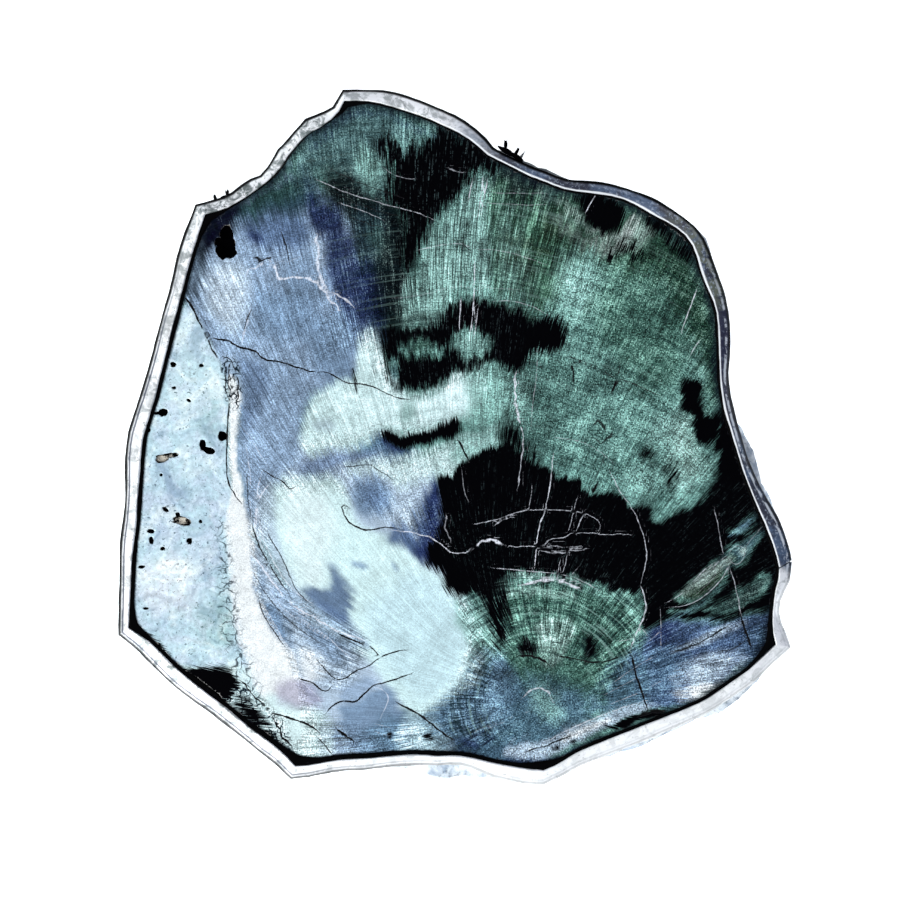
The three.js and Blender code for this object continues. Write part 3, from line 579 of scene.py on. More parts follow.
        (486, 570), (508, 572), (510, 600), (508, 640), (500, 652), (492, 640), (490, 606)), 4, 5, 0.72),
    Patch("right pocket ragged", Tone.INK, (
        (644, 212), (664, 222), (690, 248), (694, 268), (682, 262), (664, 240), (648, 234)), 3, 4, 0.6),
    Patch("foot fringe", Tone.INK, (
        (238, 690), (248, 694), (258, 706), (270, 722), (284, 744), (298, 764), (288, 768), (262, 744),
        (232, 712)), 2, 1.5, 0.5),
    Patch("corner black", Tone.INK, (
        (124, 618), (140, 629), (150, 633), (160, 641), (165, 648), (170, 658), (180, 668), (196, 690),
        (160, 662), (128, 636)), 2.5, 2),
    Patch("foot black", Tone.INK, (
        (178, 668), (190, 670), (197, 668), (210, 668), (223, 667), (233, 672), (240, 683), (237, 693),
        (232, 703), (224, 704), (212, 700), (196, 688)), 3, 2),
    Patch("foot violet", Tone.NAVY, ((456, 736), (470, 732), (488, 736), (490, 748), (470, 752), (456, 748)),
        3, 2, 0.8),
    Patch("foot dot", Tone.INK, ((387, 733), (391, 731), (394, 735), (391, 739), (387, 737)), 1.2, 0),
    Patch("foot dots", Tone.INK, ((422, 735), (427, 733), (431, 736), (436, 739), (430, 741), (424, 739)),
        1.6, 1, 0.9),
)

ZONES: tuple[Zone, ...] = (
    Zone("slate field", (
        (200, 220), (262, 188), (330, 200), (358, 250), (372, 372), (302, 430), (300, 470), (252, 540),
        (234, 440), (205, 330), (180, 300)), ring=0.08, ray=0.28, speckle=0.44, crackle=0.22, soft=12),
    Zone("blue flank", ((326, 230), (360, 240), (380, 330), (356, 372), (320, 350), (330, 290)),
        ray=0.45, glint=0.1, soft=14),
    Zone("mint", (
        (256, 500), (340, 470), (400, 530), (450, 575), (480, 650), (430, 720), (330, 740), (280, 640)),
        ring=0.05, ray=0.1, speckle=0.14, soft=12),
    Zone("drift", ((244, 540), (262, 540), (300, 600), (360, 630), (372, 650), (340, 700), (300, 660),
        (262, 600)), ring=0.0, ray=0.4, speckle=0.45, crackle=0.45, soft=8),
    Zone("lobe", ((302, 400), (360, 330), (480, 372), (480, 430), (300, 470)),
        ray=0.2, speckle=0.26, soft=10),
    Zone("stripe and bridge", ((284, 446), (380, 424), (490, 418), (504, 446), (444, 500), (380, 524), (340, 486),
        (276, 496)), ring=0.1, ray=0.3, speckle=0.5, soft=10),
    Zone("crown left", ((290, 120), (400, 96), (400, 200), (420, 300), (370, 340), (330, 260), (300, 190)),
        ring=0.45, ray=0.4, speckle=0.8, glint=0.3, soft=14),
    Zone("crown", ((400, 110), (480, 130), (520, 190), (440, 240), (410, 320), (392, 280), (400, 180)),
        ring=0.4, ray=0.7, speckle=1.0, glint=0.6, soft=14),
    Zone("column", ((410, 200), (560, 190), (600, 260), (560, 330), (440, 390), (380, 390), (376, 300)),
        ring=0.5, ray=0.8, speckle=0.75, glint=0.4, soft=14),
    Zone("right teal", ((500, 370), (570, 260), (700, 230), (722, 400), (710, 500), (600, 495), (520, 440)),
        ring=0.5, ray=0.45, speckle=1.1, soft=14),
    Zone("heart", ((440, 470), (520, 440), (640, 500), (770, 470), (780, 620), (640, 600), (440, 580)),
        ray=0.7, speckle=0.8, glint=0.35, soft=8),
    Zone("fan", (
        (450, 580), (560, 572), (642, 592), (642, 640), (600, 716), (500, 752), (430, 720), (480, 660)),
        ring=1.1, ray=0.95, speckle=1.0, glint=0.5, soft=6),
    Zone("pith", ((505, 690), (520, 668), (560, 664), (588, 684), (596, 716), (560, 736), (510, 730)),
        ring=0.6, ray=0.35, speckle=0.9, crackle=0.35, soft=16),
    Zone("hem", ((486, 764), (500, 744), (560, 728), (610, 706), (650, 698), (660, 714), (600, 744),
        (560, 770)), ring=0.0, ray=0.08, speckle=0.8, crackle=0.3, soft=4),
    Zone("right foot", ((650, 625), (770, 608), (776, 650), (690, 704), (640, 708)),
        ring=0.1, ray=0.65, speckle=0.9, glint=0.05, crackle=0.2, soft=6),
    Zone("agate", (
        (184, 297), (204, 331), (224, 368), (230, 400), (227, 470), (233, 495), (236, 560), (238, 640),
        (246, 668), (185, 668), (165, 655), (120, 627), (120, 520), (130, 440), (160, 340)),
        ring=0.0, ray=0.0, speckle=0.4, agate=1.0, crackle=0.1, soft=3),
    Zone("white strip", (
        (231, 372), (237, 374), (238, 440), (250, 523), (252, 588), (275, 634), (300, 690), (308, 742),
        (286, 742), (246, 664), (231, 604), (226, 523), (231, 496), (229, 430)),
        ring=0.0, ray=0.0, speckle=0.14, crackle=0.1, soft=3),
    Zone("seam of the strip", (
        (216, 515), (226, 520), (234, 560), (236, 600), (244, 640), (262, 690), (262, 712), (240, 690),
        (226, 660), (216, 600)), ring=0.0, ray=0.0, speckle=0.5, agate=0.6, crackle=0.9, soft=5),
    Zone("foot crackle", (
        (236, 680), (262, 700), (284, 722), (298, 752), (290, 764), (256, 740), (212, 704)),
        ring=0.0, ray=0.1, speckle=0.8, agate=0.2, crackle=1.5, soft=7),
    Zone("crust", ((220, 354), (238, 356), (243, 380), (240, 412), (224, 408)), ring=0.0, ray=0.0,
        speckle=0.4, agate=0.3, crackle=1.3, soft=3),
)

VEINS: tuple[Line, ...] = (
    Line("slate vein", ((268.7, 258.8), (275.7, 268.6), (277, 281), (299.6, 275.6), (313.6, 281.2), (322, 288),
        (330.5, 299.4), (337.5, 309.3)), 4.4, 0.9, 2.6),
    Line("slate vein high", ((316.4, 236.3), (317.8, 257.4), (319.2, 277), (330.5, 296.6)), 5.4, 0.75, 2.86),
    Line("slate vein side", ((330, 292), (342, 298), (354, 306)), 3.4, 0.8, 1.95),
    Line("slate vein flakes", ((262, 262), (256, 270), (250, 268), (246, 276)), 3.6, 0.6, 2.8),
    Line("field vein", ((250, 310), (247, 322), (244, 334), (241, 342)), 3.0, 0.5, 2.4),
    Line("hair by the hole", ((264, 275), (272, 262), (290, 262), (303, 255)), 0.72, 0.41, 1.3),
    Line("flank arc", ((244, 430), (252, 440), (262, 458), (268, 466)), 1.01, 0.54, 0.78),
    Line("flank arc left", ((240, 468), (246, 482), (250, 500), (252, 520)), 0.72, 0.45, 0.78),
    Line("veil arc", ((270, 483), (258.7, 498), (254.5, 516), (254.5, 528), (262, 548)), 1.7, 0.8, 1.04),
    Line("drift line", ((252, 556), (262, 566), (272, 582), (286, 600), (304, 612), (322, 622), (342, 634),
        (366, 640)), 2.8, 0.85, 1.82),
    Line("drift line low", ((268, 590), (280, 606), (300, 622), (326, 640)), 0.86, 0.54, 1.3),
    Line("drift line high", ((284, 598), (302, 604), (322, 616)), 0.72, 0.45, 1.3),
    Line("flow line", ((262, 472), (257, 488), (258, 512), (262, 536), (272, 560), (290, 588), (312, 604)),
        1.5, 0.7, 0.9),
    Line("flow line left", ((246, 446), (250, 470), (250, 496)), 1.2, 0.6),
    Line("flow line low", ((264, 606), (273, 622), (284, 642), (298, 658)), 1.4, 0.6, 1.0),
    Line("flow line outer", ((296, 616), (316, 628), (336, 644), (352, 660)), 1.2, 0.6, 1.2),
    Line("mauve rim", ((300, 681), (308, 688), (316, 694), (322, 706)), 0.86, 0.54, 1.04),
    Line("shoulder ray", ((378, 688), (384, 690), (389, 698), (384, 710), (380, 718)), 1.15, 0.54, 1.04),
    Line("heart vein", ((394, 530), (415, 533), (431.9, 537.5), (442, 546), (452, 553.3), (468.4, 553.3),
        (476, 546)), 1.6, 0.95, 1.3),
    Line("heart vein knot", ((470, 551), (478.2, 543.5), (486.6, 539.3), (496.4, 541), (504, 545)), 4.4, 1.0, 2.4),
    Line("heart vein right", ((504, 545), (521, 547.2), (542, 546), (551.9, 539), (566, 536.8), (573, 532.6),
        (598, 533.4), (629, 534.9)), 0.86, 0.77, 1.56),
    Line("heart vein doubled", ((540, 546), (560, 547), (582, 547)), 0.94, 0.54, 1.56),
    Line("heart vein arc", ((476, 524), (500, 519), (520, 511), (540, 509.5), (556, 509.6), (575.8, 511),
        (592, 516), (601, 523), (600, 531)), 1.08, 0.68, 0.78),
    Line("heart vein arc light", ((496, 524), (504, 519), (512, 517)), 1.73, 0.72, 1.3),
    Line("upright vein", ((553.3, 455), (551, 474), (549, 491.4), (544.9, 512.4), (538.5, 526), (536.6, 548),
        (534.4, 568)), 1.5, 1.0, 0.91),
    Line("leaning vein left", ((532, 487), (530.6, 498), (528.8, 509)), 0.94, 0.72, 0.52),
    Line("leaning vein", ((577, 498), (573, 514), (568.8, 530.6)), 0.86, 0.68, 0.52),
    Line("leaning vein right", ((585, 512), (580, 522), (575, 534)), 1.15, 0.72, 0.65),
    Line("leaning vein low", ((568, 548), (566, 562), (563, 573)), 0.86, 0.54, 0.52),
    Line("left rays", ((462, 470), (464, 492), (468, 500)), 0.9, 0.45, 0.3),
    Line("left cloud", ((446, 516), (446, 528), (450, 540)), 2.16, 0.41, 2.86),
    Line("fan white band", ((520, 585), (534, 581), (548, 580), (562, 582), (578, 588)), 5.0, 0.85, 2.6),
    Line("pith arc", ((524, 696), (530, 690), (540, 687), (549, 692), (553, 700)), 2.6, 0.7, 1.8),
    Line("pith arc low", ((504, 722), (514, 716), (524, 714)), 1.8, 0.6, 1.6),
    Line("heart dashes", ((541, 551), (556, 553), (570, 551), (586, 549)), 2.2, 0.6, 2.2),
    Line("fan rim vein", ((494, 568), (520, 570.5), (545, 572.4), (560, 574), (572, 577)), 1.01, 0.81, 0.65),
    Line("fan rim vein right", ((572, 577), (585, 582), (598, 590)), 1.01, 0.63, 0.78),
    Line("fan rim fork", ((570, 577), (574, 572), (577, 569)), 0.72, 0.72, 0.39),
    Line("fan upright", ((560, 562), (558.5, 570), (556.6, 580)), 1.01, 0.72, 0.52),
    Line("right vein", ((610.8, 472), (616.5, 485.7), (631.9, 506.8), (640.3, 526.4), (644.5, 538),
        (647.3, 556.5), (643, 576), (640.6, 585)), 1.15, 0.77, 1.3),
    Line("right vein low", ((640.6, 585), (643.8, 593), (646.5, 607), (643, 618), (636, 634), (630.5, 647.7)),
        1.9, 0.9, 1.2),
    Line("right vein twig", ((641, 628), (645, 632), (647, 634)), 0.86, 0.54, 0.52),
    Line("right vein twig low", ((619, 641), (628, 640), (634, 637)), 0.86, 0.54, 0.52),
    Line("cross twig", ((648, 642), (656, 635), (661, 631)), 0.86, 0.63, 0.52),
    Line("cross twig up", ((660.5, 610), (661, 630), (661, 648)), 0.72, 0.5, 0.52),
    Line("far vein", ((714.3, 508.6), (719, 528.7), (723, 552.6)), 0.86, 0.59, 1.04),
    Line("far vein low", ((726, 560), (733, 576), (737.3, 591.8), (741, 614.8)), 1.08, 0.63, 1.82),
    Line("lens rim", ((668, 602), (680, 595), (690, 586), (702, 571), (714, 563), (724, 559), (729, 563),
        (725, 575), (712, 590), (698, 601), (684, 606), (670, 607)), 1.2, 0.55, 0.6),
    Line("lens inner", ((684, 592), (694, 583), (704, 574), (715, 568), (716, 575), (706, 586), (696, 595)),
        1.0, 0.25),
    Line("eye rim", ((728, 556), (731, 549), (738, 545), (745, 549), (744, 558), (738, 565), (731, 563),
        (728, 556)), 1.0, 0.35, 0.5),
    Line("eye tail line", ((745, 548), (752, 538), (762, 527)), 1.0, 0.2, 0.6),
    Line("lens crease", ((712, 568), (722, 559), (728, 555)), 1.01, 0.72, 0.78),
    Line("teal upright", ((515.4, 374), (515.4, 390), (515.4, 408), (521, 425)), 4.2, 1.0, 2.4),
    Line("teal upright low", ((521, 425), (524, 440), (520, 470), (518, 488)), 1.8, 0.7, 1.6),
    Line("teal hair", ((537, 350), (537, 372), (533, 400), (531, 428)), 0.72, 0.54, 0.52),
    Line("teal arc", ((554, 438), (576, 440), (596, 448), (612, 462)), 0.86, 0.41, 1.04),
    Line("cheek scratch", ((696.7, 289.7), (690, 308), (681.4, 331.8)), 1.46, 0.83, 0.39),
    Line("cheek scratch low", ((700, 340), (694, 348), (690, 356)), 1.16, 0.63, 0.39),
    Line("pocket scratch", ((595, 196), (590, 204), (586, 212)), 1.36, 1, 0.39),
    Line("crown scratch 1", ((472.6, 180), (470, 192), (468.4, 200)), 1.27, 0.95, 0.26),
    Line("crown scratch 2", ((483, 177), (481, 196), (478, 216)), 1.46, 1, 0.26),
    Line("crown scratch 3", ((487, 181), (484, 198), (481, 213)), 1.46, 1, 0.26),
    Line("column scratch", ((474.7, 262), (474.4, 290), (472, 322), (470, 332)), 1.46, 1, 0.26),
    Line("column scratch left", ((460.7, 300), (460, 314), (459.3, 328)), 1.65, 1, 0.26),
    Line("column scratch right", ((478, 308), (476, 326), (474, 336)), 1.16, 0.88, 0.26),
    Line("slant 1", ((318, 180), (338, 189), (360, 197), (384, 204), (404, 209), (420, 214),
        (433, 219)), 1.08, 0.68, 1.04),
    Line("slant 3", ((341, 204), (356, 208), (372, 214), (382, 220)), 1.01, 0.59, 1.04),
    Line("crown hook", ((384, 168), (392, 174), (402, 178), (414, 179)), 0.86, 0.45, 0.65),
    Line("crown spot", ((449, 169), (456, 171), (464, 172)), 2.16, 0.41, 1.82),
    Line("ring line 1", ((391, 298), (410, 297), (432, 293), (454, 286), (480, 288), (519, 289)), 0.58, 0.36, 1.04),
    Line("ring line 2", ((419, 250), (438, 245.5), (459, 243), (470, 247)), 1.01, 0.54, 0.65),
    Line("ring line 3", ((484, 202.5), (500, 203.5), (519, 205), (546, 204.5)), 0.72, 0.45, 0.65),
    Line("ring line 4", ((492, 192.5), (515, 193.5), (546, 193)), 0.65, 0.41, 0.65),
    Line("ring line 5", ((476, 249), (500, 250), (522, 256), (545, 264)), 0.72, 0.41, 0.65),
    Line("ring line 6", ((496, 301), (512, 301), (532, 306), (546, 314)), 1.01, 0.45, 1.04),
    Line("steel ray 1", ((611, 704), (626, 698), (641, 692)), 1.01, 0.54, 0.26),
    Line("steel ray 2", ((604, 695), (622, 686), (640, 676)), 0.72, 0.45, 0.26),
    Line("steel ray 3", ((614, 682), (628, 672), (642, 663), (655, 656)), 0.86, 0.5, 0.26),
    Line("steel ray 4", ((646, 690), (655, 684), (664, 680)), 0.72, 0.36, 0.26),
    Line("foot scratch 1", ((376, 724), (384, 726), (390, 728)), 0.72, 0.45, 0.26),
    Line("foot scratch 2", ((376, 732), (382, 734), (387, 735)), 0.86, 0.45, 0.26),
    Line("foot vein", ((489, 728), (504, 722), (516, 716), (528, 712)), 0.86, 0.54, 1.04),
    Line("foot vein low", ((474, 732), (486, 726), (500, 722)), 0.72, 0.32, 0.78),
    Line("hem vein", ((545, 742), (572, 728), (600, 716), (628, 706), (648, 700)), 1.15, 0.72, 1.04),
)

CRACKS: tuple[Line, ...] = (
    Line("long crack start", ((184.5, 298), (190, 304), (194.4, 310.7), (199, 321), (204.2, 330.3),
        (211.2, 337.3)), 2.6, 1, 1.0),
    Line("long crack", ((211.2, 337.3), (219, 340), (228, 340.1), (233, 344), (239.3, 347.1), (251.9, 350),
        (257, 352), (260.3, 357), (266, 360), (272.9, 360.5), (288.4, 364), (296, 367), (302.4, 368.2),
        (309, 372), (317, 372)), 1.95, 1, 0.88),
    Line("long crack end", ((317, 372), (328, 372.3), (336.5, 377.2), (344.9, 382.4), (358, 384), (370.2, 384.9),
        (384.2, 392.6), (398.2, 398.2), (409.4, 399.6)), 1.17, 0.94, 0.88),
    Line("left crack", ((204, 330), (208.4, 341.5), (212, 350), (216.8, 357), (222, 362), (226, 369.6)),
        1.6, 0.9, 1.6),
    Line("crust rim left", ((219, 358), (223.5, 364), (226.5, 374), (225.6, 388), (228.5, 398), (231, 404)),
        1.1, 0.95, 1.8),
    Line("crust rim right", ((221, 357), (229, 358), (234, 364), (237.5, 376), (239, 388), (238, 400),
        (232, 404)), 1.3, 1, 2.25),
    Line("crust curl 1", ((230, 364), (228, 372), (232, 378), (229, 384), (234, 390)), 1.17, 1, 2.0),
    Line("crust curl 2", ((236, 372), (232, 382), (236, 392), (231, 398)), 1.17, 0.94, 2.0),
    Line("strip crack", ((229, 404), (228, 417), (227.2, 430), (226.8, 447), (226.5, 470), (228.6, 484),
        (233.5, 494), (240.5, 502)), 1.56, 1, 1.0),
    Line("veil crack", ((263, 470), (272, 476), (280, 479.4), (286, 485), (290.5, 490), (295, 487)), 1.17, 1, 1.0),
    Line("veil edge", ((252.5, 526), (257, 540), (262, 552), (268, 562), (276, 576), (286, 590)), 1.3, 0.88, 0.75),
    Line("veil edge inner", ((268, 534), (276, 548), (284, 562), (290, 576), (296, 590), (306, 600)), 1.17, 0.75, 0.75),
    Line("flow crack", ((247, 474), (248, 500), (251, 518)), 0.9, 0.6, 0.6),
    Line("flow crack low", ((254, 574), (264, 592), (280, 612), (298, 628), (318, 642)), 0.9, 0.6, 0.9),
    Line("wedge crack", ((259, 601), (264, 616), (274, 632), (284, 646)), 1.1, 0.8),
    Line("veil tick", ((266, 566), (269, 562), (271, 559)), 1.04, 0.88, 0.38),
    Line("feeding crack", ((340, 504), (346.3, 520), (356, 527), (364, 530.5), (374, 529.6), (384, 527.4),
        (396, 527.6)), 1.69, 1, 0.75),
    Line("feeding twig", ((337, 504.5), (345, 505), (349, 508)), 1.04, 0.75, 0.38),
    Line("bar crack", ((459, 441), (462, 447), (466, 455), (468, 459)), 2.34, 1, 0.62),
    Line("lobe crack", ((345, 467), (356, 466), (370, 464), (378, 470), (386, 474), (392, 479)), 1.04, 0.69, 1.0),
    Line("teal crack", ((617.9, 376), (615, 384), (612, 391.7)), 2.86, 1, 0.62),
    Line("teal crack up", ((620, 366), (619, 372), (617, 378)), 1.56, 0.88, 0.62),
    Line("teal arc crack", ((576, 361), (590, 366), (612, 376), (634, 384), (661, 396)), 1.17, 0.75, 1.0),
    Line("teal tick", ((572, 366), (574, 374), (573, 382)), 2.6, 1, 1.25),
    Line("teal spots", ((594, 424), (598, 420), (602, 424), (606, 430)), 2.86, 0.75, 3.0),
    Line("teal spots low", ((596, 440), (606, 444), (612, 432)), 2.34, 0.75, 3.0),
    Line("dark streak low", ((593, 492), (598, 482)), 3.12, 1, 0.75),
    Line("crown crack", ((462, 243), (468, 248), (464, 246), (470, 250)), 1.04, 0.75, 0.5),
    Line("foot crack", ((318, 661), (326, 670), (335, 679.6), (343.5, 679.6), (356, 671), (370, 665.6),
        (380, 657), (389.8, 653), (400, 651), (407, 650)), 1.3, 1, 0.75),
    Line("foot crack twig", ((364, 642), (372, 648), (380, 656.5)), 1.3, 1, 0.62),
    Line("foot crack arrow", ((340, 634), (352, 640), (362, 644), (368, 645)), 2.08, 1, 0.75),
    Line("foot crack low", ((326.7, 712), (332, 706), (337.9, 702), (346, 701), (356, 702), (361, 697),
        (367.3, 690.8), (374, 685), (384, 683), (395.4, 678.9), (404, 676), (412.2, 673.3)), 1.56, 1, 0.75),
    Line("foot crack rim", ((300, 679), (312, 682), (320, 690), (328, 691), (332, 686)), 1.43, 1, 0.75),
    Line("foot crack long", ((398, 703), (408, 708), (415.3, 712), (428.7, 721.6), (440, 731), (452, 739)),
        2.34, 1, 0.88),
    Line("foot crack left", ((262, 706), (267.3, 711.5), (281.4, 715.7), (295.4, 720), (306.6, 724.2),
        (316, 729), (319, 732)), 2.34, 1, 1.0),
    Line("foot crack chip", ((337, 729), (341, 733), (347, 736), (353, 740.7)), 3.12, 1, 1.25),
    Line("foot crack end", ((318, 738), (324, 744), (332, 754)), 1.17, 0.88, 0.62),
    Line("strip trail", ((240, 680), (250, 690), (256, 698), (262, 705), (270, 712), (276, 724), (284, 738),
        (294, 752)), 2.08, 1, 3.75),
    Line("right crack", ((632.6, 657.5), (634, 668), (636, 677), (639, 684), (641.7, 692.6), (645, 702),
        (647.6, 710)), 2.6, 1, 1.0),
    Line("right crack foot", ((640, 716), (650, 712), (662, 711)), 3.9, 1, 1.25),
    Line("far crack", ((741, 614.8), (744, 626), (747.8, 635.8), (750.7, 646.4)), 2.6, 1, 1.0),
    Line("fan arc crack", ((558, 656), (572, 658), (584, 661), (600, 663), (612, 660), (620, 656)), 1.69, 1, 1.0),
    Line("fan arc crack low", ((520, 656), (536, 656), (548, 664)), 2.08, 1, 1.0),
    Line("right foot crack", ((674, 651), (684, 650), (696, 644), (712, 636), (728, 626)), 1.56, 0.88, 1.0),
    Line("right foot crack low", ((720, 651), (732, 650), (744, 642)), 1.3, 0.62, 1.0),
    Line("hem crack", ((526, 752), (540, 748), (556, 742), (572, 736)), 1.56, 0.88, 1.5),
    Line("crown arc high", ((326, 166), (342, 175), (360, 183), (382, 191), (402, 197)), 1.3, 0.5, 1.4),
    Line("crown arc", ((320, 186), (338, 195), (356, 203), (378, 211), (398, 216)), 1.2, 0.42, 1.4),
    Line("crown arc low", ((344, 214), (362, 222), (384, 228)), 1.1, 0.45, 1.4),
    Line("band crack", ((568, 357), (580, 360), (594, 366), (606, 372)), 1.4, 0.8, 1.6),
    Line("cheek crack", ((584, 498), (600, 470), (606, 452)), 1.0, 0.5, 1.2),
    Line("slate crack", ((281.5, 232), (285, 243), (288, 254), (288.6, 262)), 1.3, 1, 0.62),
    Line("slate speck", ((255, 258), (262, 262), (270, 258)), 2.34, 0.88, 3.0),
    Line("field crack", ((244, 330), (247, 318), (251, 310)), 1.17, 0.75, 0.75),
)


@dataclass(frozen=True)
class Pit:
    """An open pit in the face: centre, half length and half width in pixels, depth in mm, turn in degrees."""

    name: str
    centre: tuple[float, float]
    half: tuple[float, float]
    depth: float
    turn: float = 0.0
    rough: float = 0.22
    crusted: bool = False


PITS: tuple[Pit, ...] = (
    Pit("hole", (226, 248), (11.5, 9.5), 4.2, 70),
    Pit("hole upper lobe", (227, 234), (9, 7), 3.4, 100),
    Pit("hole left lobe", (219, 242), (4.6, 4.6), 2.6, 20),
    Pit("hole lower lobe", (230, 253), (7, 5.5), 3.4, 0),
    Pit("long vug", (162, 458.5), (8, 4), 1.8, 12, 0.35, True),
    Pit("long vug end", (172, 455), (7.5, 2.8), 1.5, 4, 0.35, True),
    Pit("elbow pit", (202.5, 445), (3.2, 6), 2.2, 0, 0.25),
    Pit("elbow pit foot", (209, 450.5), (6, 3.4), 2.2, -20, 0.25),
    Pit("pea pit", (222.5, 436), (5, 5), 2, 0, 0.25),
    Pit("edge pit", (163, 412.5), (5, 4), 1.6, 10),
    Pit("edge pit tail", (157, 413), (5, 1.8), 1, 0, 0.3),
    Pit("margin pit", (148, 430), (3, 2.6), 1.2),
    Pit("open vug", (181, 521), (10, 4.6), 1.7, -8, 0.4, True),
    Pit("open vug spur", (178, 515.5), (2.4, 4), 1.4, 10, 0.35),
    Pit("slot pit", (165.4, 509.4), (4, 2), 1.3, -40),
    Pit("round pit", (200.5, 521.4), (2, 2), 1.2),
    Pit("cap pit", (150.7, 531.2), (3.8, 2.2), 1.3, -10),
    Pit("bean pit", (151.4, 540.3), (2.6, 4), 1.5, 10),
    Pit("double pit", (189.5, 541), (3.2, 3.6), 1.3, 30, 0.35),
    Pit("small pit", (162.6, 548.7), (2.8, 2), 1.1, 20),
    Pit("margin slot", (141.6, 567), (4, 1.8), 1, 5),
    Pit("tiny pit", (161, 475), (1.8, 1.6), 1),
    Pit("upper pit", (173.3, 364.7), (3.2, 3), 1.5, 0, 0.35),
    Pit("upper pit right", (201.4, 365.4), (2.6, 2), 1),
    Pit("mid pit", (174, 387.8), (2.4, 1.6), 1),
    Pit("mid pit right", (188.8, 400.5), (2.6, 1.6), 1, -30),
    Pit("low pit", (145.8, 608.4), (3, 1.6), 0.9),
)


def chaikin(points: np.ndarray, closed: bool, rounds: int) -> np.ndarray:
    """Cuts the corners of a route, so that it runs in soft bends.

    Args:
        points: one row for each corner.
        closed: whether the last corner joins the first.
        rounds: how many times the corners are cut.

    Returns:
        The rounded route.
    """
    for _ in range(rounds):
        following = np.roll(points, -1, axis=0)
        quarter = 0.75 * points + 0.25 * following
        three_quarters = 0.25 * points + 0.75 * following
        if closed:
            points = np.stack([quarter, three_quarters], axis=1).reshape(-1, 2)
        else:
            inner = np.stack([quarter[:-1], three_quarters[:-1]], axis=1).reshape(-1, 2)
            points = np.concatenate([points[:1], inner, points[-1:]])
    return points


def depth_inside(places: np.ndarray, outline: np.ndarray) -> np.ndarray:
    """How far inside a closed outline each place lies, below zero outside.

    Args:
        places: one row for each place.
        outline: the outline's corners.

    Returns:
        Each place's distance to the outline, below zero outside it.
    """
    nearest = np.full(len(places), np.inf)
    inside = np.zeros(len(places), bool)
    px, py = places[:, 0], places[:, 1]
    for start, end in zip(outline, np.roll(outline, -1, axis=0)):
        along = end - start
        share = np.clip(((places - start) @ along) / max(along @ along, 1e-12), 0, 1)
        gap = places - start - share[:, None] * along
        nearest = np.minimum(nearest, (gap ** 2).sum(1))
        crosses = (start[1] > py) != (end[1] > py)
        rise = along[1] if abs(along[1]) > 1e-12 else 1e-12
        inside ^= crosses & (px < start[0] + (py - start[1]) * along[0] / rise)
    return np.where(inside, 1, -1) * np.sqrt(nearest)


def beside_route(places: np.ndarray, route: np.ndarray) -> tuple[np.ndarray, np.ndarray, np.ndarray]:
    """How places lie beside an open route.

    Args:
        places: one row for each place.
        route: the route's corners.

    Returns:
        The signed distance to one side, the plain distance, and the share of the route's length.
    """
    nearest = np.full(len(places), np.inf)
    side = np.zeros(len(places))
    share_along = np.zeros(len(places))
    lengths = np.linalg.norm(np.diff(route, axis=0), axis=1)
    starts = np.concatenate([[0], np.cumsum(lengths)])
    for index, (start, end) in enumerate(zip(route[:-1], route[1:])):
        along = (end - start) / max(lengths[index], 1e-9)
        offset = places - start
        reach = np.clip(offset @ along, 0, lengths[index])
        gap = offset - reach[:, None] * along
        distance = np.sqrt((gap ** 2).sum(1))
        closer = distance < nearest
        nearest = np.where(closer, distance, nearest)
        cross = offset[:, 1] * along[0] - offset[:, 0] * along[1]
        side = np.where(closer, np.where(cross < 0, -distance, distance), side)
        share_along = np.where(closer, (starts[index] + reach) / starts[-1], share_along)
    return side, nearest, share_along


def smooth_step(low: float, high: float, values: np.ndarray) -> np.ndarray:
    """A soft step from 0 at low to 1 at high."""
    share = np.clip((values - low) / (high - low), 0, 1)
    return share * share * (3 - 2 * share)


def by_angle(places: np.ndarray, stops: Points) -> np.ndarray:
    """A value that changes round the slice, read at each place.

    Args:
        places: one row for each place, in metres.
        stops: pairs of an angle in degrees, counted from +X towards +Y, and the value there.

    Returns:
        The value at each place.
    """
    angles, values = np.array(stops, float).T
    return np.interp(np.degrees(np.arctan2(places[:, 1], places[:, 0])), angles, values, period=360)


def loop_at(node: str, height: float) -> np.ndarray:
    """The closed loop of a CAD node's points at one height, in order round the middle.

    Args:
        node: the node's name.
        height: the height in metres.

    Returns:
        One row for each point.
    """
    places = places_of(bpy.data.objects[node].data)
    level = places[np.abs(places[:, 2] - height) < LEVEL_GAP, :2]
    level = np.unique(level.round(6), axis=0)
    return level[np.argsort(np.arctan2(level[:, 1], level[:, 0]))]


@dataclass
class Neck:
    """The polished face's outline, and how far it is let out so that less putty shows.

    Attributes:
        outline: the outline's points in metres.
        trims: pairs of an angle in degrees and the distance there in mm.
    """

    outline: np.ndarray
    trims: Points = ((-33, 1.0), (-22, 0.7), (0, 0.7), (60, 0.8), (104, 0.9), (112, 1.25), (134, 1.25),
                     (142, 0.45), (205, 0.45), (214, 0.8), (280, 0.85), (290, 1.05), (322, 1.05))

    def __post_init__(self) -> None:
        """Works out the outline's outward directions."""
        along = np.roll(self.outline, -1, axis=0) - np.roll(self.outline, 1, axis=0)
        outward = np.stack([along[:, 1], -along[:, 0]], axis=1)
        outward /= np.maximum(np.linalg.norm(outward, axis=1), 1e-9)[:, None]
        outward *= np.sign((outward * self.outline).sum(1))[:, None]
        self.shift = outward * (by_angle(self.outline, self.trims) * MM)[:, None]

    def let_out(self, places: np.ndarray, reach: float) -> np.ndarray:
        """Moves the points that lie within reach of the outline outward with it.

        Args:
            places: one row for each place.
            reach: how near to the outline the points are, in metres.

        Returns:
            The moved places.
        """
        gaps = np.linalg.norm(places[:, None, :2] - self.outline[None], axis=2)
        nearest = gaps.argmin(1)
        moved = places.copy()
        moved[:, :2] += self.shift[nearest] * (gaps.min(1) < reach)[:, None]
        return moved


